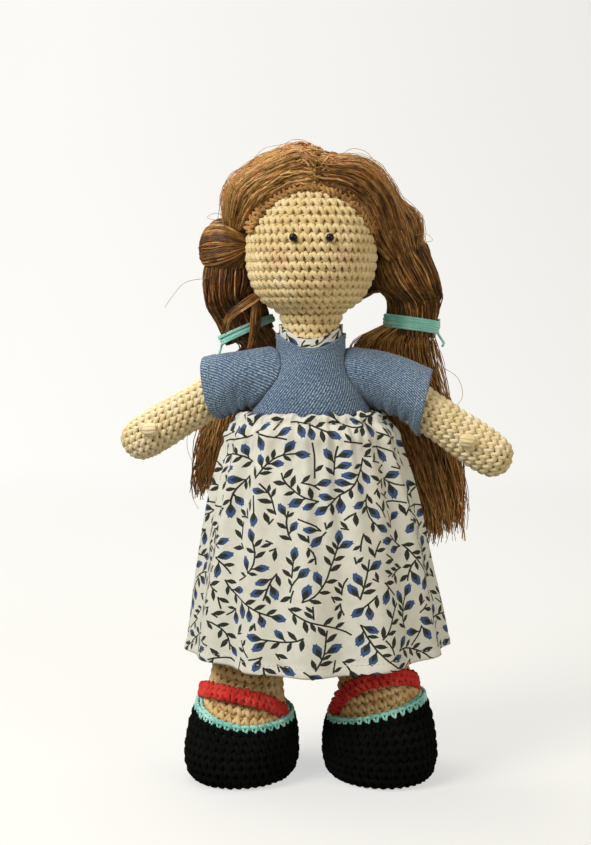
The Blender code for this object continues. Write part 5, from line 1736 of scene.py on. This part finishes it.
# %% A bunch of strands along stations
def bunch_paths(stations, count, length, random, locks, twist=0.0, hollow=0.85, pull=0.0, ragged=0.0):
    """A station is a centre and two half axes. `pull` draws locks together at the end."""
    rows = refine(np.array(stations), 60)
    of = random.integers(0, locks, count)

    def spread(n):
        angle = random.uniform(0, math.tau, n)
        out = np.sqrt(random.uniform(hollow**2, 1, n))
        return np.column_stack([out * np.cos(angle), out * np.sin(angle)])

    lock_place, own = spread(locks), spread(count)
    near = lock_place[of] + (own - lock_place[of]) * 0.16
    near /= np.maximum(1, np.linalg.norm(near, axis=1, keepdims=True))
    mixed = near + (own - near) * 0.25
    ends = 1 - ragged * random.random(count) ** 1.5 - ragged * 0.5 * random.random(locks)[of]
    t = np.linspace(0, 1, length)[None, :] * ends[:, None]
    at = t * (len(rows) - 1)
    k = np.clip(at.astype(int), 0, len(rows) - 2)
    f = (at - k)[..., None]
    centre, wide, deep = (rows[k, i] * (1 - f) + rows[k + 1, i] * f for i in range(3))
    tight = 1 - pull * t**2
    place = lock_place[of][:, None] + (mixed - lock_place[of])[:, None] * tight[..., None]
    angle = twist * (t - 0.5)
    c, s = np.cos(angle), np.sin(angle)
    x = place[..., 0] * c - place[..., 1] * s
    y = place[..., 0] * s + place[..., 1] * c
    return centre + wide * x[..., None] + deep * y[..., None], of, t


def bunch_core(name, stations, body, share=0.84):
    loops = [ring(centre, wide * share, deep * share, 24) for centre, wide,
        deep in refine(np.array(stations), 24)]
    return settle(loft(name, np.array(loops), brown_under), body, "hair_yarn", fill=0.9)


def station(centre, wide, deep, tilt=0.0, side=1):
    across = np.array([side * math.cos(tilt), 0, -math.sin(tilt)])
    return (np.array(centre), across * wide, BACK * deep)


# For each ring of the lower bulge: how high, how wide, how far outwards.
LOWER_RINGS = {
    1: ((0.86, 0.50, -0.0050), (0.62, 0.80, -0.0030), (0.10, 0.94, -0.0022), (-0.50, 1.00, 0.0004)),
    -1: ((0.86, 0.50, -0.0030), (0.62, 0.84, 0.0), (0.10, 1.0, 0.0), (-0.50, 0.93, 0.0)),
}


def lower_stations(side):
    centre, size = lobe(LOWER, side)
    middle, across, down = bunch_frame(side)
    half = TIE_PITCH * TIE_TURNS[side] / 2 + TIE_CORD
    wide = across * BUNCH_WIDE[side]
    found = []
    for level, share, aside in LOWER_RINGS[side]:
        place = centre + UP * size[2] * level + np.array([side * aside, 0, 0])
        found.append(station(place, size[0] * share, size[1] * share, TIE_TILT[side] / 2 * (level < 0), side))
    return found + [
        (middle - down * (half + 0.0016), wide * 1.02, BACK * BUNCH_DEEP * 1.05),
        (middle, wide * 0.97, BACK * BUNCH_DEEP * 0.95),
        (middle + down * half, wide * 0.97, BACK * BUNCH_DEEP * 0.95),
    ]


def lower_bulge(side, count=1300):
    name = SIDES[side]
    random = np.random.default_rng(15 + side)
    stations = lower_stations(side)
    twist = {1: 1.25, -1: -0.25}[side]
    paths, of, t = bunch_paths(stations, count, 18, random, 70, twist * side)
    swell = random.normal(0, 0.0006, 70)[of][:, None] * np.sin(math.pi * t)
    paths += unit(paths - paths.mean(axis=(0, 1))) * swell[..., None]
    paths[..., 0] += smooth_noise(random, count, 18) * 0.0009 + smooth_noise(random, count, 18, 3, 3,
        6) * 0.0003
    paths[..., 1] += smooth_noise(random, count, 18) * 0.0007
    tones, wides = strand_looks(random, of, 70, 0.35, 18)
    strands(f"{name}_lower_bulge", "head", paths, tones, wides, 0.00033, 3)
    bunch_core(f"{name}_bulge_core", stations, "head")


def wound_bulge(count=800):
    """Yarn wound sideways: lines from an inner pole, round the outside, to the back."""
    side = -1
    random = np.random.default_rng(31)
    centre, size = lobe(UPPER, side)
    centre, size = centre + [0.0008, 0, -0.0034], size * [1.04, 1.0, 1.06]
    pole = unit(np.array([0.80, -0.62, 0.10]))
    first = unit(np.cross(pole, UP))
    second = np.cross(pole, first)
    locks = 34
    lock_turn = random.uniform(0, math.tau, locks)
    of = random.integers(0, locks, count)
    angle = lock_turn[of] + random.normal(0, 0.13, count)
    t = np.linspace(0.03, 0.97, 18)[None, :] * math.pi
    out = 1 + random.normal(0, 0.02, (count, 1)) + random.normal(0, 0.03, locks)[of][:, None] * np.sin(t)
    ways = (pole * np.cos(t)[..., None]
            + (first * np.cos(angle)[:, None, None]
                + second * np.sin(angle)[:, None, None]) * np.sin(t)[..., None])
    paths = centre + ways * size * out[..., None]
    paths[..., 2] += smooth_noise(random, count, 18) * 0.0005
    tones, wides = strand_looks(random, of, locks, 0.36, 18)
    strands("right_wound_bulge", "head", paths, tones, wides, 0.00037, 3)
    stations = [station(centre + UP * size[2] * h, size[0] * w, size[1] * w) for h, w in
                ((-0.95, 0.25), (-0.6, 0.75), (0.0, 0.93), (0.6, 0.75), (0.95, 0.25))]
    bunch_core("right_wound_core", stations, "head", 0.97)


# %% Two locks that lie across the doll's right bunch, the second one over its tie
LOCKS = (
    (((-0.0190, 0.0040, 0.2330), (-0.0300, -0.0050, 0.2260), (-0.0385, -0.0050, 0.2195),
        (-0.0420, 0.0040, 0.2110)), 0.0036),
    (((-0.0255, 0.0020, 0.2280), (-0.0262, 0.0040, 0.2200), (-0.0270, 0.0058, 0.2120),
        (-0.0290, 0.0085, 0.2030)), 0.0026),
)


def crossing_locks(count=220):
    random = np.random.default_rng(37)
    for k, (line, radius) in enumerate(LOCKS):
        line = refine(np.array(line)[:, None, :], 9)[:, 0]
        swell = np.interp(np.linspace(0, 1, 9), [0, 0.4, 1], [0.7, 1.0, 0.55])
        way = unit(np.gradient(line, axis=0))
        flat = unit(np.cross(way, BACK))
        stations = [(p, f * radius * s, BACK * radius * 0.6 * s) for p, f, s in zip(line, flat, swell)]
        paths, of, t = bunch_paths(stations, count, 14, random, 12, hollow=0.2)
        paths[..., 1] += smooth_noise(random, count, 14) * 0.0004
        tones, wides = strand_looks(random, of, 12, 0.45, 14)
        strands(f"right_crossing_lock_{k + 1}", "head", paths, tones, wides)


for side in SIDES:
    lower_bulge(side)
wound_bulge()
crossing_locks()

# %% [markdown]
# ### Ties
#
# Each bunch is bound with mint cotton thread, wound round a few times and never quite level.

# %% The ties
def make_tie(side):
    name = SIDES[side]
    random = np.random.default_rng(51 + side)
    middle, across, down = bunch_frame(side)
    turns = TIE_TURNS[side] + 2
    count = 26 * turns
    t = np.linspace(0, 1, count)
    angle = math.tau * turns * t
    spread = TIE_PITCH * TIE_TURNS[side] * 0.30
    wobble = smooth_noise(random, 3, count, 3, 1.0, 5.0)
    drop = spread * (2 * t - 1) + wobble[0] * 0.0006 + 0.0006 * np.sin(angle + 0.7)
    wide = BUNCH_WIDE[side] + GAP + TIE_CORD + wobble[1] * 0.0004
    deep = BUNCH_DEEP + GAP + TIE_CORD + wobble[2] * 0.0003
    around = np.outer(wide * np.cos(angle), across) + np.outer(deep * np.sin(angle), BACK)
    path = middle + around + np.outer(drop, down)
    loose = across * 0.0035 + down * 0.0045 - BACK * 0.001
    path = np.vstack([path, path[-1] + loose * 0.5, path[-1] + loose,
        path[-1] + loose * 1.4 - across * 0.002])
    mesh = cord_mesh(f"{name}_tie_thread", [path], [TIE_CORD * 0.74], sides=8)
    tie = link_object(f"{name}_tie_thread", mesh, mint_yarn)
    settle(tie, "head", "mint_yarn", f"{name}_hair_tie")
    print(f"{name} tie: {turns} turns of thread")


for side in SIDES:
    make_tie(side)

# %% [markdown]
# ### Tails
#
# Below the ties the yarn hangs loose. It fans out from the tie, and its cut ends are uneven.

# %% The tails
TAIL_LENGTH = {1: 0.1040, -1: 0.0830}
TAIL_OUT = {1: 0.0160, -1: 0.0200}
TAIL_BACK = {1: 0.0130, -1: 0.0230}
TAIL_WIDE, TAIL_DEEP = 0.0200, 0.0064
TAIL_SHARES = {
    1: ((0.0, 0.30, -0.32, 0.0), (0.045, 1.12, -0.47, 0.22), (0.12, 1.20, -0.44, 0.55),
        (0.26, 1.18, -0.14, 0.90),
        (0.44, 1.08, 0.28, 1.0), (0.64, 0.94, 0.68, 1.0), (0.84, 0.80, 0.98, 0.95), (1.0, 0.66, 1.06, 0.90)),
    -1: ((0.0, 0.22, -0.32, 0.0), (0.06, 0.56, -0.30, 0.24), (0.14, 0.78, -0.14, 0.55),
        (0.30, 0.86, 0.12, 0.92),
         (0.50, 0.84, 0.38, 1.0), (0.72, 0.76, 0.64, 1.0), (0.90, 0.66, 0.84, 0.98), (1.0, 0.56, 0.88, 0.95)),
}


def tail_stations(side):
    middle, across, down = bunch_frame(side)
    half = TIE_PITCH * TIE_TURNS[side] / 2 + TIE_CORD
    root = middle + down * (half + 2 * GAP)
    found = [(middle, across * BUNCH_WIDE[side] * 0.85, BACK * BUNCH_DEEP * 0.85)]
    for drop, wide, out, back in TAIL_SHARES[side][1:]:
        centre = root + np.array([side * TAIL_OUT[side] * out, TAIL_BACK[side] * back,
            -TAIL_LENGTH[side] * drop])
        found.append((centre, np.array([side * TAIL_WIDE * wide, 0, 0]), BACK * TAIL_DEEP))
    return found


def make_tail(side, count=1300):
    name = SIDES[side]
    random = np.random.default_rng(81 + side)
    stations = tail_stations(side)
    locks = 52
    paths, of, t = bunch_paths(stations, count, 20, random, locks, hollow=0.25, pull=0.68, ragged=0.28)
    wander = smooth_noise(random, count, 20, 3, 0.5, 2.4) * (0.0007 + 0.0030 * t)
    wander += smooth_noise(random, count, 20, 3, 3, 6) * 0.0005
    sway = smooth_noise(random, locks, 20, 2, 0.4, 1.3)[of] * 0.0028 * t
    paths[..., 0] += wander + sway
    paths[..., 1] += smooth_noise(random, count, 20) * 0.0008 * t
    paths[..., 1] += smooth_noise(random, locks, 20, 2, 0.4, 1.3)[of] * 0.0015 * t
    tones, wides = strand_looks(random, of, locks, 0.56)
    tones = np.minimum(1, tones[:, None] + 0.22 * t**2)
    strands(f"{name}_tail_strands", f"{name}_tail", paths, tones, wides, 0.00027)
    flying, _, t = bunch_paths(stations, 110, 20, random, 110, hollow=0.9, ragged=0.5)
    flying[..., 0] += smooth_noise(random, 110, 20, 3, 0.8, 3) * (0.0010 + 0.0045 * t)
    flying[..., 1] -= 0.0015 - smooth_noise(random, 110, 20, 3, 0.8, 3) * 0.0020
    strands(f"{name}_tail_flyaways", f"{name}_tail", flying, random.uniform(0.75, 1.0, 110), 1.0, 0.00017)
    core = bunch_core(f"{name}_tail_core", stations[:-2], f"{name}_tail", 0.55)
    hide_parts(f"{name}_tail")


for side in SIDES:
    make_tail(side)

# %% [markdown]
# ### The cap's edge and the parting
#
# The cap that the yarn is knotted to ends in two rows of stitches along the hairline, in a copper
# brown, and short threads of the hair's own yarn cross the parting where the two sides are tied down.

# %% The hairline stitches
copper_yarn = plied_yarn("copper_brown_yarn", "9A6E38", "5E3D1B", "CB9C5A", roughness=0.6, ply=0.0009)
HEAD_MIDDLE = np.array([0, 0, 0.2530])
IN_PLANE_UP = np.array([0.0, -HAIRLINE_WAY[2], HAIRLINE_WAY[1]])


def hairline(count, lift, back, spread=math.radians(104)):
    """Points round the face along the edge of the cap."""
    away = (HEAD_MIDDLE - HAIRLINE_EDGE) @ HAIRLINE_WAY - back
    centre = HEAD_MIDDLE - HAIRLINE_WAY * away
    turns = np.linspace(-spread, spread, count)
    ways = np.outer(np.sin(turns), [1, 0, 0]) + np.outer(np.cos(turns), IN_PLANE_UP)
    far = reach(np.broadcast_to(centre, ways.shape), ways, in_head, 0.045, 400)
    return centre + ways * (far + lift)[:, None], ways


def make_cap_edge():
    rows = []
    for count, lift, back, lean in ((30, 0.0018, -0.0004, 0.5), (31, 0.0010, -0.0030, -0.4)):
        spots, ways = hairline(count, lift, back, math.radians(70))
        up = unit(HAIRLINE_WAY + lean * np.roll(ways, 1, axis=1))
        rows.append([spots, unit(ways * 0.6 - HAIRLINE_WAY * 0.8), up, np.full(count, 0.74)])
    found = [np.concatenate(pair) for pair in zip(*rows)]
    edge = crochet("cap_edge_stitches", found, copper_yarn, seed=91, looseness=0.5)
    settle(edge, "head", "cap_yarn")


make_cap_edge()


# %% Threads across the parting
def make_parting(over=150, front=60):
    """Short threads that cross at all angles, where the two sides are knotted to the cap."""
    random = np.random.default_rng(95)
    count = front + over
    front_turns, front_shares = rolled(np.linspace(1.45, 0, front))
    turns = np.concatenate([front_turns, np.linspace(FRONT_TURN + ROLL, math.radians(200), over)])
    shares = np.concatenate([front_shares, np.zeros(over)])
    depths = np.where(np.arange(count) < front + 30, -0.0007, 0.0)
    sides = [sweep_paths(side, turns, depths, shares) for side in SIDES]
    along = unit(np.gradient(sides[0][:, 0], axis=0) * [0, 1, 1])
    outward = np.column_stack([0 * turns, -along[:, 2], along[:, 1]])
    out_to = random.integers(0, 3, count)
    foot = np.where(random.random((count, 1)) < 0.5, *(spots[np.arange(count), out_to] for spots in sides))
    foot = foot + along * random.normal(0, 0.0012, (count, 1))
    t = np.linspace(-1, 1, 7)[None, :, None]
    half = random.uniform(0.0016, 0.0042, (count, 1, 1))
    way = unit(np.array([1.0, 0, 0]) + along * random.uniform(-1.5, 1.5, (count, 1)))
    paths = foot[:, None] + way[:, None] * t * half + outward[:, None] * (0.0001 + 0.0008 * (1 - t**2))
    tones = random.uniform(0.45, 1.0, count)
    strands("parting_threads", "head", paths, tones, 1.0, 0.00036, 5)


make_parting()

# %% [markdown]
# ### Loose threads
#
# A few threads have worked out of the hair and stand off it in thin curls.

# %% The loose threads
def make_loose(side, count=60, length=20):
    random = np.random.default_rng(97 + side)
    turns = random.uniform(FRONT_TURN, math.radians(150), count)
    paths = sweep_paths(side, turns, np.full(count, -0.0003), length=length)
    t = np.linspace(0, 1, length)
    first = random.uniform(0.0, 0.6, (count, 1))
    rise = np.clip((t - first) / 0.35, 0, 1) * np.clip((first + 0.7 - t) / 0.35, 0, 1)
    outward = unit(paths - HEAD_MIDDLE)
    paths += outward * (rise * random.uniform(0.0004, 0.0030, (count, 1)))[..., None]
    paths[..., 2] += smooth_noise(random, count, length, 3, 2, 5) * 0.0008
    paths[..., 0] += smooth_noise(random, count, length, 3, 2, 5) * 0.0008
    strands(f"{SIDES[side]}_loose_threads", "head", paths, random.uniform(0.6, 1.0, count), 1.0, 0.00013)


for side in SIDES:
    make_loose(side)


# %% Curls that stand clear, each from where it leaves the hair to its tip
CURLS = {
    "head": (
        ((-0.049, 0.000, 0.2370), (-0.060, -0.002, 0.2345), (-0.066, -0.004, 0.2275),
            (-0.069, -0.005, 0.2230)),
        ((-0.040, -0.006, 0.2650), (-0.0450, -0.010, 0.2670), (-0.0485, -0.011, 0.2650),
            (-0.0440, -0.012, 0.2635)),
        ((0.0470, -0.002, 0.2560), (0.0545, -0.006, 0.2575), (0.0570, -0.007, 0.2545),
            (0.0530, -0.008, 0.2535)),
        ((0.0330, 0.004, 0.2800), (0.0410, 0.002, 0.2760), (0.0440, 0.000, 0.2700), (0.0445, 0.000, 0.2650)),
        ((-0.015, -0.004, 0.2965), (-0.009, -0.008, 0.3010), (-0.002, -0.010, 0.3000),
            (0.0015, -0.011, 0.2940)),
        ((-0.013, -0.006, 0.2965), (-0.007, -0.010, 0.3000), (0.001, -0.012, 0.2985),
            (0.0040, -0.013, 0.2930)),
        ((0.012, -0.004, 0.2930), (0.0195, -0.008, 0.2970), (0.0260, -0.010, 0.2950),
            (0.0300, -0.011, 0.2900)),
    ),
    "left_tail": (
        ((0.062, 0.018, 0.1950), (0.072, 0.016, 0.1880), (0.0735, 0.014, 0.1790), (0.0690, 0.012, 0.1740)),
        ((0.064, 0.020, 0.1780), (0.0755, 0.016, 0.1700), (0.0750, 0.014, 0.1600), (0.0715, 0.012, 0.1560)),
        ((0.034, 0.012, 0.2010), (0.0270, 0.008, 0.2000), (0.0250, 0.006, 0.1950), (0.0310, 0.005, 0.1925)),
    ),
    "right_tail": (
        ((-0.052, 0.024, 0.1700), (-0.0600, 0.020, 0.1610), (-0.0590, 0.018, 0.1500),
            (-0.0545, 0.018, 0.1440)),
        ((-0.050, 0.026, 0.1500), (-0.0570, 0.022, 0.1400), (-0.0580, 0.020, 0.1300),
            (-0.0550, 0.020, 0.1240)),
    ),
}
for body_name, curls in CURLS.items():
    bows = np.array([refine(np.array(curl)[:, None, :], 14)[:, 0] for curl in curls])
    tones = np.linspace(0.75, 1.0, len(bows))
    strands(f"{body_name}_curls", body_name, bows, tones, 1.0, 0.00014)

# %% [markdown]
# ## Clearing up
#
# The shapes that the trees copied are taken out.

# %% Finish
for thing in sources:
    bpy.data.objects.remove(thing)
